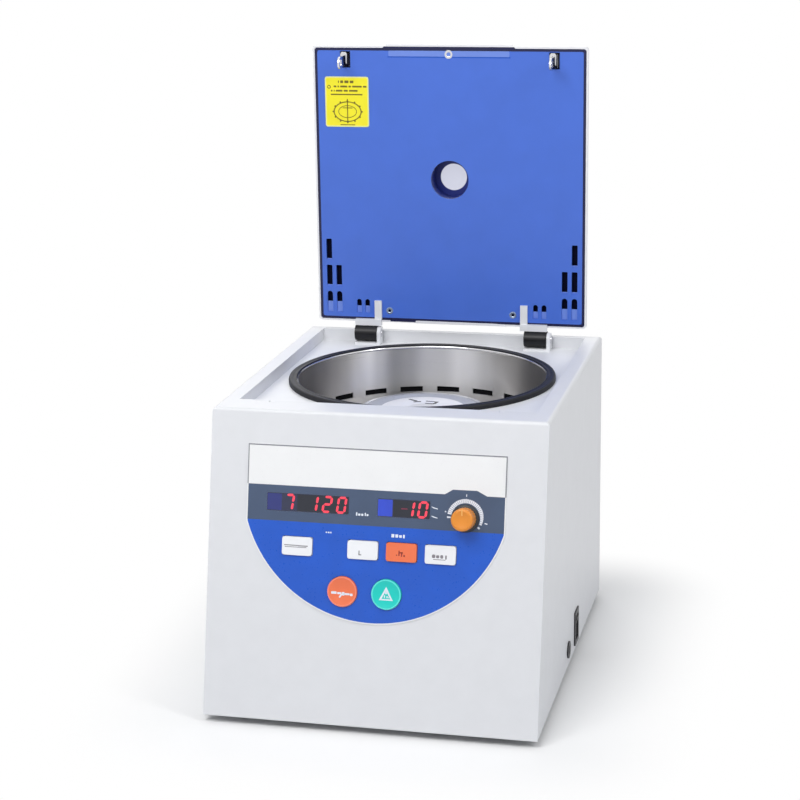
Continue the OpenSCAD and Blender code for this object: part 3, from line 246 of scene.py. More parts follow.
def brushed(name, base, rough):
    """Steel brushed round the upright axis of the chamber: fine lines that run round it, and a painted reflection
    of bright and dark bands in its colour by the angle round the axis.
    """
    m, tree, shader = new_material(name)
    coord = node(tree, "TexCoord")
    off_axis = node(tree, "VectorMath", {0: coord.outputs["Object"], 1: (AXIS.x, AXIS.y, 0)}, operation="SUBTRACT")
    split = node(tree, "SeparateXYZ", {0: off_axis.outputs[0]})
    angle = node(tree, "Math", {0: split.outputs["Y"], 1: split.outputs["X"]}, operation="ARCTAN2")
    flat = node(tree, "VectorMath", {0: off_axis.outputs[0], 1: (1, 1, 0)}, operation="MULTIPLY")
    reach = node(tree, "VectorMath", {0: flat.outputs[0]}, operation="LENGTH")
    polar = node(tree, "CombineXYZ", {"X": angle.outputs[0], "Y": reach.outputs["Value"], "Z": split.outputs["Z"]})
    lines = node(tree, "Mapping", {"Scale": LINES, "Vector": polar.outputs[0]})
    fine = node(tree, "TexNoise", {"Scale": 1, "Detail": 3, "Vector": lines.outputs[0]})
    broad = node(tree, "Mapping", {"Scale": CLOUDS, "Vector": polar.outputs[0]})
    cloud = node(tree, "TexNoise", {"Scale": 1.6, "Detail": 2, "Vector": broad.outputs[0]})
    tone = ramp(tree, cloud.outputs["Fac"], ((0.35, [c * 0.86 for c in base]), (0.65, base)))
    turn = node(tree, "MapRange", {"From Min": -math.pi, "From Max": math.pi, "Value": angle.outputs[0]})
    # A ramp holds no colour over 1, so the painted reflection is halved in it and doubled after it
    stops = [(0.5 + degrees / 360, (level / 2,) * 3) for degrees, level in PAINTED_REFLECTION_BANDS]
    painted_bands = ramp(tree, turn.outputs["Result"], stops, "EASE")
    both = node(tree, "VectorMath", {0: tone, 1: painted_bands}, operation="MULTIPLY")
    twice = node(tree, "VectorMath", {0: both.outputs[0], "Scale": 2}, operation="SCALE")
    tangent = node(tree, "Tangent", direction_type="RADIAL", axis="Z")
    feed(tree, shader, {"Base Color": twice.outputs[0], "Metallic": 1, "Anisotropic": 0.85,
                        "Anisotropic Rotation": 0.25, "Tangent": tangent.outputs["Tangent"]})
    grain_finish(tree, shader, fine.outputs["Fac"], rough, 0.06, 0.12, 0.0001)
    return m


# The bowl's steel has a painted reflection: its colour is brighter and darker in bands round the axis.
M["bowl"] = brushed("bowl_steel", (0.66, 0.65, 0.65), 0.3)


# Mesh helpers
def add_bevel(o, width, segments=2):
    """A bevel modifier for the sharp edges of a piece or a CAD node."""
    b = o.modifiers.new("bevel", "BEVEL")
    b.width = width / 1000
    b.segments = segments
    b.limit_method = "ANGLE"
    b.angle_limit = math.radians(35)
    b.harden_normals = True


def finish_piece(bm, name, mats, body, replaces=(), slot=None, bevel=0.0, segments=2, smooth=40):
    """Turns a bmesh into a piece that rides on a body."""
    bmesh.ops.remove_doubles(bm, verts=bm.verts, dist=1e-7)
    bmesh.ops.recalc_face_normals(bm, faces=bm.faces)
    mesh = bpy.data.meshes.new(name)
    bm.to_mesh(mesh)
    bm.free()
    for m in [mats] if isinstance(mats, str) else mats:
        mesh.materials.append(M[m])
    o = bpy.data.objects.new(name, mesh)
    bpy.context.collection.objects.link(o)
    mesh.shade_smooth()
    mesh.set_sharp_from_angle(angle=math.radians(smooth))
    if bevel:
        add_bevel(o, bevel, segments)
    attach(o, body)
    if replaces:
        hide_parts(*replaces)


def oblong(x0, y0, x1, y1):
    return [(x0, y0), (x1, y0), (x1, y1), (x0, y1)]


def arc(r, a0, a1, n, x=0.0, y=0.0):
    """Points on a circle from one angle to another, in degrees."""
    angles = [math.radians(a0 + (a1 - a0) * i / n) for i in range(n + 1)]
    return [(x + r * math.cos(a), y + r * math.sin(a)) for a in angles]


def rounded(w, h, r, n=6, x=0.0, y=0.0):
    """A rectangle with rounded corners about a point."""
    corners = ((w / 2 - r, h / 2 - r, 0), (r - w / 2, h / 2 - r, 90), (r - w / 2, r - h / 2, 180),
               (w / 2 - r, r - h / 2, 270))
    return [p for cx, cy, a0 in corners for p in arc(r, a0, a0 + 90, n, x + cx, y + cy)]


def oval(x, y, a, b, n=48):
    return [(x + a * math.cos(math.tau * i / n), y + b * math.sin(math.tau * i / n)) for i in range(n)]


def ring(r, n=64, x=0.0, y=0.0):
    return oval(x, y, r, r, n)


def inside(p, flat, edges):
    """Whether a point lies within an outline and outside its holes."""
    odd = False
    for i, j in edges:
        a, b = flat[i], flat[j]
        if (a.y > p.y) != (b.y > p.y) and p.x < a.x + (p.y - a.y) * (b.x - a.x) / (b.y - a.y):
            odd = not odd
    return odd


def add_slab(bm, loops, z0, z1, base, index=0):
    """A flat plate from an outline and its holes, between two heights. finish_piece merges equal vertices, so
    slabs that lie on each other don't share a corner."""
    flat = [Vector(p) for loop in loops for p in loop]
    edges, start = [], 0
    for loop in loops:
        n = len(loop)
        edges += [(start + i, start + (i + 1) % n) for i in range(n)]
        start += n
    points, _, tris, _, _, _ = delaunay_2d_cdt(flat, edges, [], 1, 1e-5)
    low, high, foot, head = [[bm.verts.new(base @ Vector((*p, z))) for p in where]
                             for where, z in ((points, z0), (points, z1), (flat, z0), (flat, z1))]
    faces = []
    for t in tris:
        middle = (points[t[0]] + points[t[1]] + points[t[2]]) / 3
        if inside(middle, flat, edges):
            faces.append(bm.faces.new([high[i] for i in t]))
            faces.append(bm.faces.new([low[i] for i in reversed(t)]))
    for a, b in edges:
        faces.append(bm.faces.new([foot[a], foot[b], head[b], head[a]]))
    for f in faces:
        f.material_index = index


def add_bars(bm, bars, z, thick, base, index=0, x=0.0, y=0.0, r=0.3, n=2):
    """Plain rounded bars about a point, each with its place (x, y), width and height."""
    for dx, dy, w, h in bars:
        add_slab(bm, [rounded(w, h, r, n, x + dx, y + dy)], z, z + thick, base, index)


def add_lathe(bm, profile, base, seg=96, index=0, flutes=0, depth=0.0, band=None):
    """Turns a closed (r, z) profile round the base's z axis. Where it may be fluted, the band gives the lowest and
    highest z and the least radius of the flutes."""
    loops = []
    for i in range(seg):
        a = math.tau * i / seg
        loop = []
        for r, z in profile:
            if flutes and band[0] <= z <= band[1] and r > band[2]:
                r -= depth * (0.5 - 0.5 * math.cos(a * flutes)) ** 2
            loop.append(bm.verts.new(base @ Vector((r * math.cos(a), r * math.sin(a), z))))
        loops.append(loop)
    n = len(profile)
    for i in range(seg):
        p, q = loops[i], loops[(i + 1) % seg]
        for k in range(n):
            f = bm.faces.new([p[k], q[k], q[(k + 1) % n], p[(k + 1) % n]])
            f.material_index = index


def raised(z0, profile):
    """A profile moved up by a height."""
    return [(r, z0 + z) for r, z in profile]


def slab(name, loops, z0, z1, base, mat, body, **kw):
    bm = bmesh.new()
    add_slab(bm, loops, z0, z1, base)
    finish_piece(bm, name, mat, body, **kw)


def lathe(name, profile, base, mat, body, seg=96, flutes=0, depth=0.0, band=None, **kw):
    bm = bmesh.new()
    add_lathe(bm, profile, base, seg, 0, flutes, depth, band)
    finish_piece(bm, name, mat, body, **kw)


# Every CAD node gets the finish of its slot and a bevel where its edges show it. Nodes that are replaced further
# on are hidden by their pieces.
FINISH = {
    "casing_white": "casing", "deck_white": "deck", "plain_steel": "plate", "bowl_steel": "bowl",
    "bright_steel": "bright", "black_rubber": "gasket", "grey_rubber": "rubber", "panel_film": "film_white",
    "display_glass": "glass_dark", "display_red": "led", "board_green": "board", "key_white": "key_white",
    "key_orange": "key_orange", "key_turquoise": "key_turq", "knob_orange": "knob", "black_plastic": "black",
    "motor_grey": "cast", "copper": "copper", "rotor_alloy": "alloy", "cover_white": "cover",
    "lid_white": "shell", "liner_blue": "liner", "tunnel_blue": "tunnel", "clear_window": "window",
    "label_yellow": "label", "barrel_black": "barrel"}
BEVELS = {"casing": 0.7, "rear_panel": 0.4, "top_deck": 0.4, "rubber_feet": 0.8, "hinge_arms": 0.5,
          "hinge_barrels": 0.7, "hinge_brackets": 0.5, "lid_shell": 0.8, "lid_liner": 0.3,
          "power_switch_body": 0.4, "power_rocker": 0.4, "breaker_body": 0.5, "breaker_button": 0.6,
          "power_inlet": 0.4, "inlet_pins": 0.3, "rotor": 0.6, "hinge_pins": 0.3, "lid_tunnel": 0.2,
          "lid_window": 0.3}
for part in frame["record"]["subparts"]:
    cad = frame["nodes"][part["node"]]
    cad.data.materials.clear()
    cad.data.materials.append(M[FINISH[part["material_slot"]]])
    if part["node"] in BEVELS:
        add_bevel(cad, BEVELS[part["node"]])

# Panel film: a white sheet that ends in an arc, with slate and blue areas and a grey line printed on it
FILM_W, FILM_TOP, FILM_SIDE, FILM_SAG = 100, 26.2, 59, 73   # half width, top edge, straight side, depth of the arc
ARC_R = (FILM_W ** 2 + FILM_SAG ** 2) / (2 * FILM_SAG)
ARC_V = FILM_TOP + FILM_SIDE + FILM_SAG - ARC_R
FILM_T = 0.8
PRINT, PRINT_T = FILM_T + 0.01, 0.02                        # printed areas: height and thickness
SLATE_W, SLATE_TOP, SLATE_LOW = 99.2, -56.8, -83.9
LINE_LOW = -27.2
SPEED, TIME = (-52.0, -69.5, 64.2, 13.6), (22.6, -69.5, 40.4, 13.6)     # display windows: x, y, width, height
FLAT_KEYS = ("key_left", "key_middle", "key_orange", "key_right")
ROUND_KEYS = ("key_stop", "key_start")


def film_outline(inset, top):
    """Outline of the film, drawn in by an inset, from a top edge down to its arc."""
    r = ARC_R - inset
    a = math.asin((FILM_W - inset) / r)
    turns = [a - 2 * a * i / 60 for i in range(61)]
    low = [(r * math.sin(t), -ARC_V - r * math.cos(t)) for t in turns]
    return [(inset - FILM_W, -top), (FILM_W - inset, -top)] + low


keys = {key: centre(key, FRONT).xy for key in FLAT_KEYS + ROUND_KEYS}
dial = centre("dial_knob", FRONT)
window_holes = [rounded(w, h, 0.5, 3, x, y) for x, y, w, h in (SPEED, TIME)]
key_holes = [rounded(24.2, 14.7, 1.6, 4, *keys[k]) for k in FLAT_KEYS]
key_holes += [ring(11.85, 64, *keys[k]) for k in ROUND_KEYS]
knob_hole = ring(5.2, 32, dial.x, dial.y)
bm = bmesh.new()
add_slab(bm, [film_outline(0, FILM_TOP), *window_holes, *key_holes, knob_hole], 0, FILM_T, FRONT, 0)
for index, loops in (
        (1, [[(-SLATE_W, SLATE_TOP), (SLATE_W, SLATE_TOP), (SLATE_W, SLATE_LOW), (-SLATE_W, SLATE_LOW)],
             *window_holes, knob_hole]),
        (1, [[(53.6, SLATE_TOP), (59.6, -53.1), (78, -53), (85.6, SLATE_TOP)]]),
        (2, [film_outline(0.9, -SLATE_LOW), *key_holes]),
        (3, [oblong(-FILM_W, LINE_LOW, FILM_W, -FILM_TOP)]),
        (3, [oblong(-FILM_W, SLATE_TOP, -SLATE_W, LINE_LOW)]),
        (3, [oblong(99.1, SLATE_TOP, FILM_W, LINE_LOW)])):
    add_slab(bm, loops, PRINT, PRINT + PRINT_T, FRONT, index)
finish_piece(bm, "panel_film", ["film_white", "film_slate", "film_blue_and_grip_shadow", "film_grey"], "housing",
             replaces=["panel_overlay"], slot="panel_film")

# Printing on the film: captions as plain bars, pointers by the display, and the dial's scale and ticks
INK, INK_T = FILM_T + 0.03, 0.03
CAPTIONS = ((-34.8, -90.6, 1.2, 1.1), (-33.2, -90.6, 1.0, 1.1), (-36.6, -90.6, 1.3, 1.0), (14.9, -90.2, 2.2, 2.6),
            (17.9, -90.2, 2.2, 2.4), (20.8, -90.4, 2.0, 2.0), (23.4, -90.3, 1.4, 2.6), (-13.6, -75.4, 1.0, 2.6),
            (-11.6, -75.8, 1.8, 1.6), (-9.2, -75.8, 1.6, 1.6), (-6.9, -75.4, 0.8, 2.4), (-5.2, -75.8, 1.4, 1.6))
POINTER = ((43.6, 0.8), (44.4, 0.9), (48.6, -0.3), (48.4, -0.9), (45.2, -0.2))
DIAL_Y = dial.y + 0.6
SCALE_FROM, SCALE_SPAN, SCALE_STEPS, SCALE_GAP = 171, 195, 30, 0.9      # degrees, and how many bars
TAPER_FROM, TAPER_STEPS = 22, 8                                         # the last bars get shorter
TICKS = ((184, 11.2, 14, 2.6), (-32, 11.6, 13.4, 3), (-12, 15, 17.2, 1.4), (168, 15.2, 16.2, 1.6),
         (90, 15.6, 17.4, 1.0))                                         # angle, radii, half width in degrees


def dial_bar(inner, outer, a0, a1, n):
    """A bar of the dial's scale between two radii and two angles."""
    return arc(outer, a0, a1, n, dial.x, DIAL_Y) + arc(inner, a1, a0, n, dial.x, DIAL_Y)


bm = bmesh.new()
add_bars(bm, CAPTIONS, INK, INK_T, FRONT)
for y in (-67.6, -74.4):
    add_slab(bm, [[(px, y + py) for px, py in POINTER]], INK, INK + INK_T, FRONT)
for i in range(SCALE_STEPS):
    a0 = SCALE_FROM - i * SCALE_SPAN / SCALE_STEPS
    a1 = a0 - SCALE_SPAN / SCALE_STEPS + SCALE_GAP
    short = 0.7 * max(0, i - TAPER_FROM) / TAPER_STEPS
    add_slab(bm, [dial_bar(10.8 + short, 13.9 - short, a0, a1, 3)], INK, INK + INK_T, FRONT)
for a, inner, outer, w in TICKS:
    add_slab(bm, [dial_bar(inner, outer, a, a - w * 2, 2)], INK, INK + 0.02, FRONT)
finish_piece(bm, "panel_print", "print_white", "housing", slot="panel_film")

# Displays: a dark window each, its lit cells and slanted seven-segment digits
SEGMENTS = {"0": "abcdef", "1": "bc", "2": "abged", "7": "abc", "-": "g"}
DIGIT_W, DIGIT_H, STROKE, SLANT = 7.5, 13.0, 1.8, math.tan(math.radians(8))
STROKE_GAP = 0.25
GLASS_T, CELL_T, DIGIT_T = 0.8, 0.04, 0.04
# Cells from the window's left edge (from, to, material), and digits (character, middle)
DISPLAYS = (
    ("display_speed", SPEED, ["display_windows"], ((0.3, 11.6, 1), (23.8, 63.9, 2)),
     (("7", 17.6), ("1", 36.4), ("2", 47.4), ("0", 58.6))),
    ("display_time", TIME, [], ((0.3, 11.5, 3), (11.9, 40.1, 2)), (("-", 20.6), ("1", 24.6), ("0", 34.8))))


def add_digit(bm, char, x, y, z):
    """Seven-segment character; the dash is thin and dim."""
    dash = char == "-"
    w, h, t = DIGIT_W / 2 - STROKE / 2, DIGIT_H / 2 - STROKE / 2, STROKE / 2 * (0.5 if dash else 1.0)
    ends = {"a": ((-w, h), (w, h)), "b": ((w, h), (w, 0)), "c": ((w, 0), (w, -h)), "d": ((-w, -h), (w, -h)),
            "e": ((-w, 0), (-w, -h)), "f": ((-w, h), (-w, 0)), "g": ((-w, 0), (w, 0))}
    for s in SEGMENTS[char]:
        p, q = Vector(ends[s][0]), Vector(ends[s][1])
        d = (q - p).normalized()
        n = Vector((-d.y, d.x)) * t
        p, q = p + d * STROKE_GAP, q - d * STROKE_GAP
        pts = [p, p + d * t + n, q - d * t + n, q, q - d * t - n, p + d * t - n]
        add_slab(bm, [[(x + v.x + v.y * SLANT, y + v.y) for v in pts]], z, z + DIGIT_T, FRONT, 5 if dash else 4)


for name, (x, y, w, h), hidden, cells, chars in DISPLAYS:
    bm = bmesh.new()
    add_slab(bm, [rounded(w - 0.2, h - 0.2, 0.5, 3, x, y)], 0, GLASS_T, FRONT, 0)
    for c0, c1, index in cells:
        add_bars(bm, [((c0 + c1) / 2, 0, c1 - c0, h - 1.0)], GLASS_T, CELL_T, FRONT, index, x - w / 2, y)
    for char, cx in chars:
        add_digit(bm, char, x - w / 2 + cx, y, GLASS_T + CELL_T + 0.01)
    finish_piece(bm, name, ["glass_dark", "cell_violet", "cell_dark", "cell_blue", "digit", "digit_dim"],
                 "housing", replaces=hidden, slot="display_glass")

# Keys: caps with a soft edge, and plain marks (x, y, width, height) in place of their captions
KEY_FOOT, KEY_TOP, KEY_DISH = -3.4, 2.4, 2.24       # heights of the caps; the round ones are dished
KEY_MARK_T, ROUND_MARK_T = 0.03, 0.06
FLAT_MARKS = {
    "key_left": [(-4.2, 0.5, 11.5, 0.7), (4.8, 0.3, 7.5, 0.8), (-1.0, -0.8, 17, 0.5)],
    "key_middle": [(-2.6, -2.2, 0.8, 3.6), (-1.6, -3.6, 1.8, 0.7)],
    "key_orange": [(-1.6, -0.6, 0.9, 4.0), (0.0, -0.2, 2.6, 0.9), (0.4, -1.4, 0.9, 3.4), (2.4, -2.4, 1.2, 1.6),
                   (-3.4, -2.2, 0.9, 0.9)],
    "key_right": [(-5.0, -1.2, 2.6, 2.6), (-1.9, -1.4, 2.4, 2.2), (1.2, -1.3, 2.2, 2.6), (4.4, -1.6, 1.2, 3.0),
                  (-0.6, -3.6, 9.5, 0.5)]}
START_MARKS = ((0, 1.6, 1.2, 2.6), (-1.1, -1.6, 0.9, 2.0), (0.9, -1.8, 0.9, 1.6), (2.0, -2.2, 0.7, 1.0))
STOP_MARKS = ((-6.2, -1.0, 4.2, 1.9), (-2.0, -1.2, 3.2, 1.5), (3.8, -1.6, 4.6, 1.5), (7.4, -1.9, 2.2, 1.9),
              (1.0, -1.5, 2.2, 2.6))
STOP_TAIL = ((-0.6, -1.6), (0.6, -2.0), (-1.4, -4.8), (-2.4, -4.2))
ROUND_PROFILE = [(0.02, KEY_FOOT), (11.5, KEY_FOOT), (11.5, 1.7), (11.1, 2.2), (10.5, KEY_TOP), (10.1, 2.36),
                 (9.8, 2.2), (0.02, KEY_DISH)]


def triangle(x, y, w, h):
    """A triangle with its point up, by its reach from the middle to each corner."""
    turns = [math.radians(a) for a in (0, -120, -240)]
    return [(x + w * math.sin(a) * 0.95, y + h * math.cos(a)) for a in turns]


for key in FLAT_KEYS:
    x, y = keys[key]
    colour = "key_orange" if key == "key_orange" else "key_white"
    slab(key + "_cap", [rounded(23.5, 14.0, 2.0, 6, x, y)], KEY_FOOT, KEY_TOP, FRONT, colour, key,
         replaces=[key], slot=colour, bevel=0.5, segments=3)
    bm = bmesh.new()
    for mx, my, w, h in FLAT_MARKS[key]:
        add_bars(bm, [(mx, my, w, h)], KEY_TOP, KEY_MARK_T, FRONT, 0, x, y, min(w, h) * 0.3)
    finish_piece(bm, key + "_mark", "print_red" if key == "key_orange" else "print_dark", key)
for key, colour, slot in (("key_stop", "key_orange", "key_orange"), ("key_start", "key_turq", "key_turquoise")):
    x, y = keys[key]
    bm = bmesh.new()
    add_lathe(bm, ROUND_PROFILE, at(FRONT, x, y))
    add_slab(bm, [ring(11.35, 96, x, y), ring(10.35, 96, x, y)], KEY_TOP - 0.02, KEY_TOP + 0.03, FRONT, 1)
    finish_piece(bm, key + "_cap", [colour, colour + "_rim"], key, replaces=[key], slot=slot)
    bm = bmesh.new()
    mark_top = KEY_DISH + ROUND_MARK_T
    if key == "key_start":
        add_slab(bm, [triangle(x, y - 1.0, 6.6, 6.9), triangle(x, y - 1.2, 4.1, 4.2)], KEY_DISH, mark_top, FRONT)
        add_bars(bm, START_MARKS, KEY_DISH, ROUND_MARK_T, FRONT, 0, x, y)
    else:
        add_bars(bm, STOP_MARKS, KEY_DISH, ROUND_MARK_T, FRONT, 0, x, y, 0.5, 3)
        add_slab(bm, [[(x + px, y + py) for px, py in STOP_TAIL]], KEY_DISH, mark_top, FRONT)
    finish_piece(bm, key + "_mark", "print_white", key)

# Knob: a fluted orange cap on a black skirt
KNOB = at(FRONT, dial.x, dial.y)
KNOB_CAP = [(0.02, 3.05), (8.5, 3.05), (8.5, 13.4), (8.35, 14.4), (7.8, 15.2), (6.8, 15.6), (5.9, 15.55),
            (5.1, 15.2), (0.02, 15.1)]
KNOB_SKIRT = [(3.1, 1.35), (10.5, 1.35), (10.5, 1.8), (10.2, 2.4), (9.4, 2.9), (3.1, 3.0)]
lathe("knob_cap", KNOB_CAP, KNOB, "knob", "knob", seg=144, flutes=24, depth=0.35, band=(3.0, 13.5, 8.4),
      replaces=["dial_knob"], slot="knob_orange", smooth=50)
lathe("knob_skirt_ring", KNOB_SKIRT, KNOB, "black", "knob", replaces=["knob_skirt"], slot="black_plastic")
slab("knob_pointer", [rounded(1.0, 4.6, 0.4, 3, 0, 5.6)], 15.3, 15.62, KNOB, "knob_mark", "knob")

# Chamber: the gasket, a bright bead under it, and a near-black ring of painted shade behind the bowl's air slots
GASKET = [(109.2, 0), (109.2, 2.6), (108.8, 3.5), (107.9, 4.0), (106.6, 4.0), (105.6, 3.6), (104.6, 3.5),
          (104.0, 3.8), (103.2, 4.0), (102.5, 3.9), (102.2, 3.5), (102.2, 2.8), (103.45, 2.8), (103.45, 1.25),
          (106.8, 1.25), (106.8, 0)]
BEAD = [(102.15, 0.8), (102.15, 2.7), (101.8, 2.75), (101.5, 2.3), (101.5, 1.4), (101.8, 0.9)]
SLOT_SHADE_RING = [(104.0, -42), (105.0, -42), (105.0, -28), (104.0, -28)]
g0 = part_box("chamber_gasket")[0].z * 1000
lathe("gasket_ring", raised(g0, GASKET), SPIN, "gasket", "housing", seg=160, replaces=["chamber_gasket"],
      slot="black_rubber", smooth=60)
lathe("bowl_bead", raised(g0, BEAD), SPIN, "bright", "housing", seg=160, slot="bright_steel", smooth=60)
# Painted shade: a near-black ring behind the air slots, where the chamber is dark.
lathe("slot_shade_ring", raised(g0, SLOT_SHADE_RING), SPIN, "gap", "housing", seg=120)

# Rotor cover: its ring, and the disc that turns in it, with generic marks (x, y, width, height, turn)
COVER = [(7.1, -2), (49.4, -2), (49.4, -0.7), (49.1, -0.2), (48.4, 0), (47.4, -0.1), (46.6, -0.5), (36.6, -0.5),
         (36.0, -0.8), (7.1, -0.8)]
DISC = [(0.02, -2), (6.9, -2), (6.9, -0.78), (35.5, -0.78), (35.5, 0.1), (35.1, 0.6), (34.2, 0.8), (14, 0.8),
        (13.2, 0.5), (12.4, 0.8), (0.02, 0.8)]
DISC_MARKS = ((-13.0, 22.0, 9.0, 2.6, -0.55), (-8.4, 17.4, 6.4, 2.6, 0.35), (2.4, 20.4, 8.6, 2.2, -0.1),
              (7.6, 17.2, 2.6, 7.0, -0.2), (3.2, 13.6, 8.0, 2.2, -0.1), (-16, -22, 8, 1.4, 0.6),
              (16, -22, 8, 1.4, -0.6), (0, -27, 6, 1.4, 0))
cover_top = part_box("rotor_lid")[1].z * 1000
lathe("rotor_cover_ring", raised(cover_top, COVER), SPIN, "cover", "rotor_cover", replaces=["rotor_lid"],
      slot="cover_white", smooth=50)
lathe("cover_disc_plate", raised(cover_top, DISC), SPIN, "disc", "cover_disc", replaces=["rotor_lid_disc"],
      slot="cover_white", smooth=50)
bm = bmesh.new()
for x, y, w, h, turn in DISC_MARKS:
    add_slab(bm, [rounded(w, h, 0.4, 2)], cover_top + 0.78, cover_top + 0.84, at(SPIN, x, y, turn))
finish_piece(bm, "cover_disc_marks", "black", "cover_disc")

# Lid: a dark line of painted shade in the groove round the liner, and its air slots with blades in a lighter blue
# that is painted light, a dark plate of painted shade behind each and rounded upper corners
LINER_W, LINER_LOW, LINER_HIGH, FACE = 233.5, 11.55, 247.55, -1.0
LINER_MID = (LINER_LOW + LINER_HIGH) / 2
SLOT_FOOT, SLOT_PITCH, SLOT_H, SLOT_W = 17.7, 23.2, 18.4, 5.0
SMALL_H, SMALL_W = 12.0, 4.2


def liner_loop(inset, r):
    """Outline of the lid's liner, drawn in by an inset."""
    return rounded(LINER_W - 2 * inset, LINER_HIGH - LINER_LOW - 2 * inset, r, 4, 0, LINER_MID)


# Painted shade: a dark navy ring in the groove round the liner.
slab("liner_groove_shade", [liner_loop(0.05, 2.2), liner_loop(2.15, 0.6)], FACE - 1.0, FACE - 0.3, LID, "navy", "lid",
     slot="liner_blue")
slots = [(s * x, SLOT_FOOT + SLOT_PITCH * i, SLOT_H, SLOT_W)
         for x, rows in ((108.1, 3), (99.6, 2)) for s in (-1, 1) for i in range(rows)]
slots += [(s * x, SLOT_FOOT, SMALL_H, SMALL_W) for s in (-1, 1) for x in (74.4, 81.8)]
bm = bmesh.new()
for x, y, h, w in slots:
    lowest = y == SLOT_FOOT
    lip = h * (0.5 if lowest else 0.05)
    # Painted light: a lighter blue blade at the foot of each slot. Painted shade: a dark plate behind the slot.
    add_slab(bm, [oblong(x - w / 2, y, x + w / 2, y + lip)], FACE - 1.2, FACE - 1.1, LID, 0)
    add_slab(bm, [rounded(w + 3, h + 3, 1, 2, x, y + h / 2)], FACE - 4.6, FACE - 4.2, LID, 1)
    r = w / 2 if lowest else 0.8
    bend = [math.pi / 2 * k / 5 for k in range(6)]
    for side in (-1, 1):
        curve = [(x + side * (w / 2 - r + r * math.cos(a)), y + h - r + r * math.sin(a)) for a in bend]
        corner = [(x + side * w / 2, y + h + 0.01)] + curve[::-1]
        add_slab(bm, [corner if side > 0 else corner[::-1]], FACE - 2.3, FACE - 0.02, LID, 2)
finish_piece(bm, "louvre_blades", ["liner_painted_light", "shade", "liner"], "lid", slot="liner_blue")

# Grip at the lid's front edge, drawn in painted light and painted shade, the bar and the painted shade of the gap
# at its hinge side, and the liner's screws
bm = bmesh.new()
# Painted light: a lighter band on the grip, where light from above falls on it.
add_slab(bm, [rounded(104, 4.8, 0.8, 3, 0, 243.1)], FACE, FACE + 0.28, LID, 0)
# Painted shade: a dark strip along the lid's front edge at the grip.
add_slab(bm, [[(-57.5, 247.2), (57.5, 247.2), (56, 248.9), (-56, 248.9)]], FACE - 0.2, FACE + 0.12, LID, 1)
# Painted shadow: a darker blue line under the grip.
add_slab(bm, [rounded(106, 0.9, 0.3, 2, 0, 240.1)], FACE, FACE + 0.1, LID, 2)
finish_piece(bm, "grip_strip", ["liner_painted_light", "navy", "film_blue_and_grip_shadow"], "lid", slot="liner_blue", bevel=0.12)
slab("lid_rear_bar", [[(-31, 9.95), (49, 9.95), (49, 11.2), (40, 11.9), (-31, 12.1)]], FACE, FACE + 1.4, LID,
     "shell", "lid", bevel=0.3)
# Painted shade: a dark navy strip in the gap beside the bar.
slab("lid_rear_gap_shade", [[(-54, 10.6), (-31.5, 10.6), (-31.5, 12.0), (-54, 12.2)]], FACE, FACE + 0.1, LID, "navy",
     "lid")
bm = bmesh.new()
for x, y, r, lift, index in ((-54.6, 20, 3.0, 0.0, 0), (54.6, 20, 3.0, 0.0, 0), (0, 242.6, 3.6, 0.35, 2)):
    head = [(1.35, -2.3), (2.95, -2.3)] + raised(lift, [(2.95, -1.3), (r, -1.3), (r, -1.1), (2.4, -0.95),
                                                        (1.9, -1.0), (1.35, -1.3)])
    add_lathe(bm, head, at(LID, x, y), 32, index)
    # Painted shade: a dark hexagon in the screw's socket.
    add_slab(bm, [ring(1.36, 6)], -2.3, -1.9, at(LID, x, y), 1)
finish_piece(bm, "liner_screw_heads", ["screw_blue", "shade", "bright"], "lid", replaces=["liner_screws"],
             slot="bright_steel", smooth=30)

# Hooks: an upright plate with an eye and a boss, a bright clip, and behind the liner a foot and a navy backing of
# painted shade in the hole
HOOK_X, HALF_PLATE, BOSS_T = 90, 0.9, 0.4
CLIP = [(-4.2, -4.6), (-2.7, -4.2), (-2.5, 4.2), (-1.6, 5.0), (-0.7, 4.2), (-0.6, -2.6), (1.3, -2.4), (1.6, 5.6),
        (0.4, 7.4), (-3.2, 7.4), (-4.2, 5.6)]
hook_lo, hook_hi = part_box("lid_strikers")
hook_y = (hook_lo.z + hook_hi.z) / 2 * 1000 - HINGE.z * 1000
bm = bmesh.new()
for s in (-1, 1):
    base = at(LID, s * HOOK_X, hook_y)
    upright = base @ Matrix.Rotation(-math.pi / 2, 4, "Y")
    outline = [(-12, -5), (14, -5)] + arc(5, -90, 90, 10, 17, 0) + [(14, 5), (-12, 5)]
    add_slab(bm, [outline, rounded(5.4, 5.0, 1.0, 4, 16.5, 0)], -HALF_PLATE, HALF_PLATE, upright)
    add_slab(bm, [oblong(-6, -6, 6, 6)], -14, -12.2, base)
    add_slab(bm, [rounded(2.2, 9, 0.6, 3, 4, 0)], HALF_PLATE, HALF_PLATE + BOSS_T, upright)
    add_slab(bm, [CLIP], FACE - 2.2, FACE - 0.1, base)
    # Painted shade: a navy plate at the back of the hook's hole.
    add_slab(bm, [oblong(-6, -7.4, 6, 9.4), oblong(-1.2, -6.2, 1.2, 6.2)], -11.4, -11.0, base, 1)
finish_piece(bm, "lid_hooks", ["bright", "navy"], "lid", replaces=["lid_strikers"], slot="bright_steel",
             bevel=0.35, segments=3)

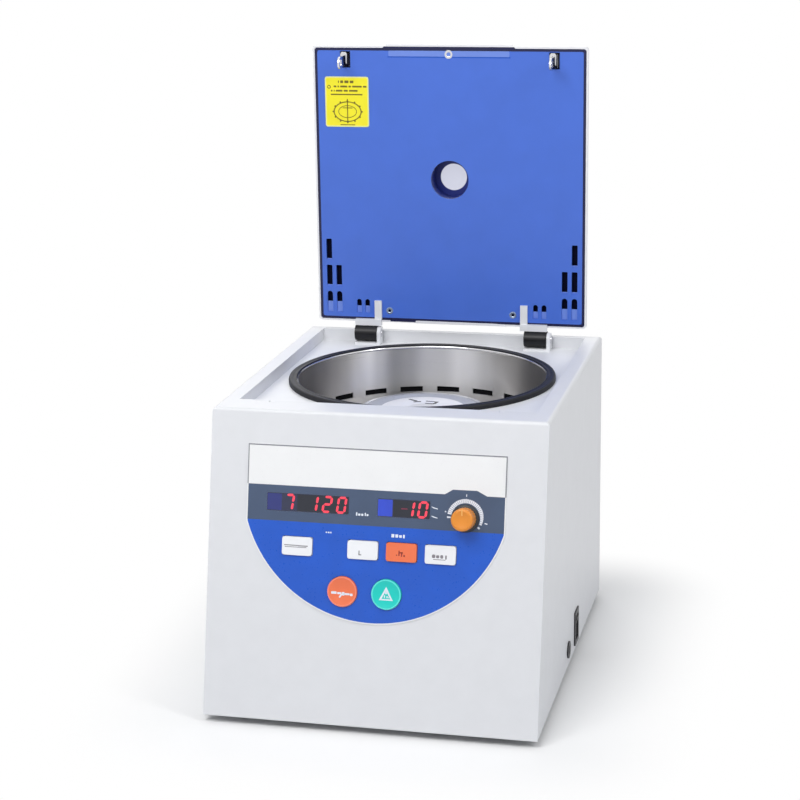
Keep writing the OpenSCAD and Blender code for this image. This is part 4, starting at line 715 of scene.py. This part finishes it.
# Label: a yellow plate with rows of plain bars and a drawing of two ovals, a toothed edge and a middle line
LABEL_X, LABEL_Y, LABEL_T, LABEL_INK_T = -89.1, 201.8, 0.26, 0.02
OVAL_X, OVAL_Y = LABEL_X + 0.4, LABEL_Y - 8.4
ROWS = ((17.0, -7.5, (0.8, 2.6, 3.6, 3.2), 2.2), (13.0, -11.5, (2.4, 1.2, 6.2, 2.2, 8.4, 3.0), 1.5),
        (9.4, -14.0, (1.4, 0.8, 5.8, 3.6, 7.6), 1.5))       # height, start, widths and height of the bars
RULES = ((0, 0.4, 0.9, 21), (0, 3.2, 9, 0.7), (0, -11.2, 13, 0.7))
bm = bmesh.new()
add_slab(bm, [rounded(38.4, 42.8, 2.0, 6, LABEL_X, LABEL_Y)], FACE, FACE + LABEL_T, LID, 0)
top = FACE + LABEL_T + LABEL_INK_T
add_slab(bm, [rounded(36.2, 40.6, 1.4, 6, LABEL_X, LABEL_Y)], FACE + LABEL_T, top, LID, 1)
for y, x, widths, h in ROWS:
    for w in widths:
        add_bars(bm, [(x + w / 2, y, w, h)], top, LABEL_INK_T, LID, 2, LABEL_X, LABEL_Y)
        x += w + 1.1
add_bars(bm, [(-0.2, 6.2, 28, 1.1)], top, LABEL_INK_T, LID, 2, LABEL_X, LABEL_Y)
for a, b, line in ((12.4, 8.8, (1.0, 0.9)), (8.2, 5.4, (0.6, 0.6))):
    add_slab(bm, [oval(OVAL_X, OVAL_Y, a, b), oval(OVAL_X, OVAL_Y, a - line[0], b - line[1])], top,
             top + LABEL_INK_T, LID, 2)
for x, y in oval(OVAL_X, OVAL_Y, 12.6, 9.2, 12):
    add_slab(bm, [ring(0.75, 12, x, y)], top + LABEL_INK_T, top + 2 * LABEL_INK_T, LID, 2)
add_bars(bm, RULES, top, LABEL_INK_T, LID, 2, OVAL_X, OVAL_Y)
x, y = LABEL_X - 15.6, LABEL_Y + 12.6
add_slab(bm, [ring(1.6, 16, x, y), ring(0.9, 16, x, y)], top, top + LABEL_INK_T, LID, 2)
finish_piece(bm, "lid_label_plate", ["label_edge", "label", "label_ink"], "lid", replaces=["lid_label"],
             slot="label_yellow")


# Floor, backdrop and light
def background_rays(tree):
    """1 for the rays that show the background (camera, transmission and glossy rays), 0 for the rest."""
    path = node(tree, "LightPath")
    shown = path.outputs["Is Camera Ray"]
    for kind in ("Is Transmission Ray", "Is Glossy Ray"):
        shown = node(tree, "Math", {0: shown, 1: path.outputs[kind]}, operation="MAXIMUM").outputs[0]
    return shown


# The floor is a matt paper that keeps the shadow near the object and turns to the white of the background beyond
FLOOR_SIZE = 60
FOOTPRINT = (0.131, 0.169, 0)                       # half the object's footprint, in metres
FADE = 0.12                                         # width of the change to white, in metres
PAPER_LIT, PAPER_SEEN = (0.76, 0.77, 0.79, 1), (0.94, 0.94, 0.94, 1)
mesh = bpy.data.meshes.new("floor")
mesh.from_pydata([(x, y, 0) for x, y in oblong(-FLOOR_SIZE, -FLOOR_SIZE, FLOOR_SIZE, FLOOR_SIZE)], [],
                 [(0, 1, 2, 3)])
floor = bpy.data.objects.new("floor", mesh)
bpy.context.collection.objects.link(floor)
floor_paper, tree, paper = new_material("floor_paper")
shown = background_rays(tree)
coord = node(tree, "TexCoord")
fold = node(tree, "VectorMath", {0: coord.outputs["Object"]}, operation="ABSOLUTE")
off = node(tree, "VectorMath", {0: fold.outputs[0], 1: FOOTPRINT}, operation="SUBTRACT")
clear = node(tree, "VectorMath", {0: off.outputs[0]}, operation="MAXIMUM")
reach = node(tree, "VectorMath", {0: clear.outputs[0]}, operation="LENGTH")
fade = node(tree, "MapRange", {"From Min": 0.0, "From Max": FADE, "To Min": 0.0, "Value": reach.outputs["Value"]},
            interpolation_type="SMOOTHSTEP")
share = node(tree, "Math", {0: shown, 1: fade.outputs["Result"]}, operation="MULTIPLY")
tone = node(tree, "Mix", {"A": PAPER_LIT, "B": PAPER_SEEN, "Factor": shown}, data_type="RGBA")
feed(tree, paper, {"Roughness": 0.9, "Base Color": tone.outputs["Result"]})
glow = node(tree, "Emission")
mix = node(tree, "MixShader", {0: share.outputs[0], 1: paper.outputs[0], 2: glow.outputs[0]})
feed(tree, tree.nodes["Material Output"], {"Surface": mix.outputs[0]})
mesh.materials.append(floor_paper)

# The world is a soft light for the object and plain white as a background
world = bpy.data.worlds.new("studio")
scene.world = world
world.use_nodes = True
tree = world.node_tree
soft = tree.nodes["Background"]
feed(tree, soft, {0: (0.95, 0.97, 1.0, 1), 1: 0.45})
white = node(tree, "Background", {0: (1, 1, 1, 1)})
mix = node(tree, "MixShader", {0: background_rays(tree), 1: soft.outputs[0], 2: white.outputs[0]})
feed(tree, tree.nodes["World Output"], {"Surface": mix.outputs[0]})


def softbox(name, azimuth, height, distance, w, h, radiance):
    """A large soft lamp that looks at the chamber: angles in degrees, lengths in metres."""
    data = bpy.data.lights.new(name, "AREA")
    data.shape = "RECTANGLE"
    data.size, data.size_y = w, h
    data.energy = radiance * math.pi * w * h
    o = bpy.data.objects.new(name, data)
    bpy.context.collection.objects.link(o)
    a, e = math.radians(azimuth), math.radians(height)
    aim = Vector((AXIS.x, AXIS.y, 0.2))
    o.location = aim + distance * Vector((math.cos(a) * math.cos(e), math.sin(a) * math.cos(e), math.sin(e)))
    o.rotation_mode = "QUATERNION"
    o.rotation_quaternion = (aim - o.location).to_track_quat("-Z", "Y")


softbox("front_box", -104, 47, 1.35, 0.85, 0.6, 5.4)
softbox("side_strip", -24, 40, 2.0, 0.3, 1.0, 7.4)
softbox("rear_box", 105, 30, 2.2, 1.2, 0.9, 1.8)
data = bpy.data.lights.new("overhead", "SUN")
data.energy = 0.18
data.angle = math.radians(60)
lamp = bpy.data.objects.new("overhead", data)
bpy.context.collection.objects.link(lamp)
lamp.rotation_euler = (math.radians(12), 0, 0)
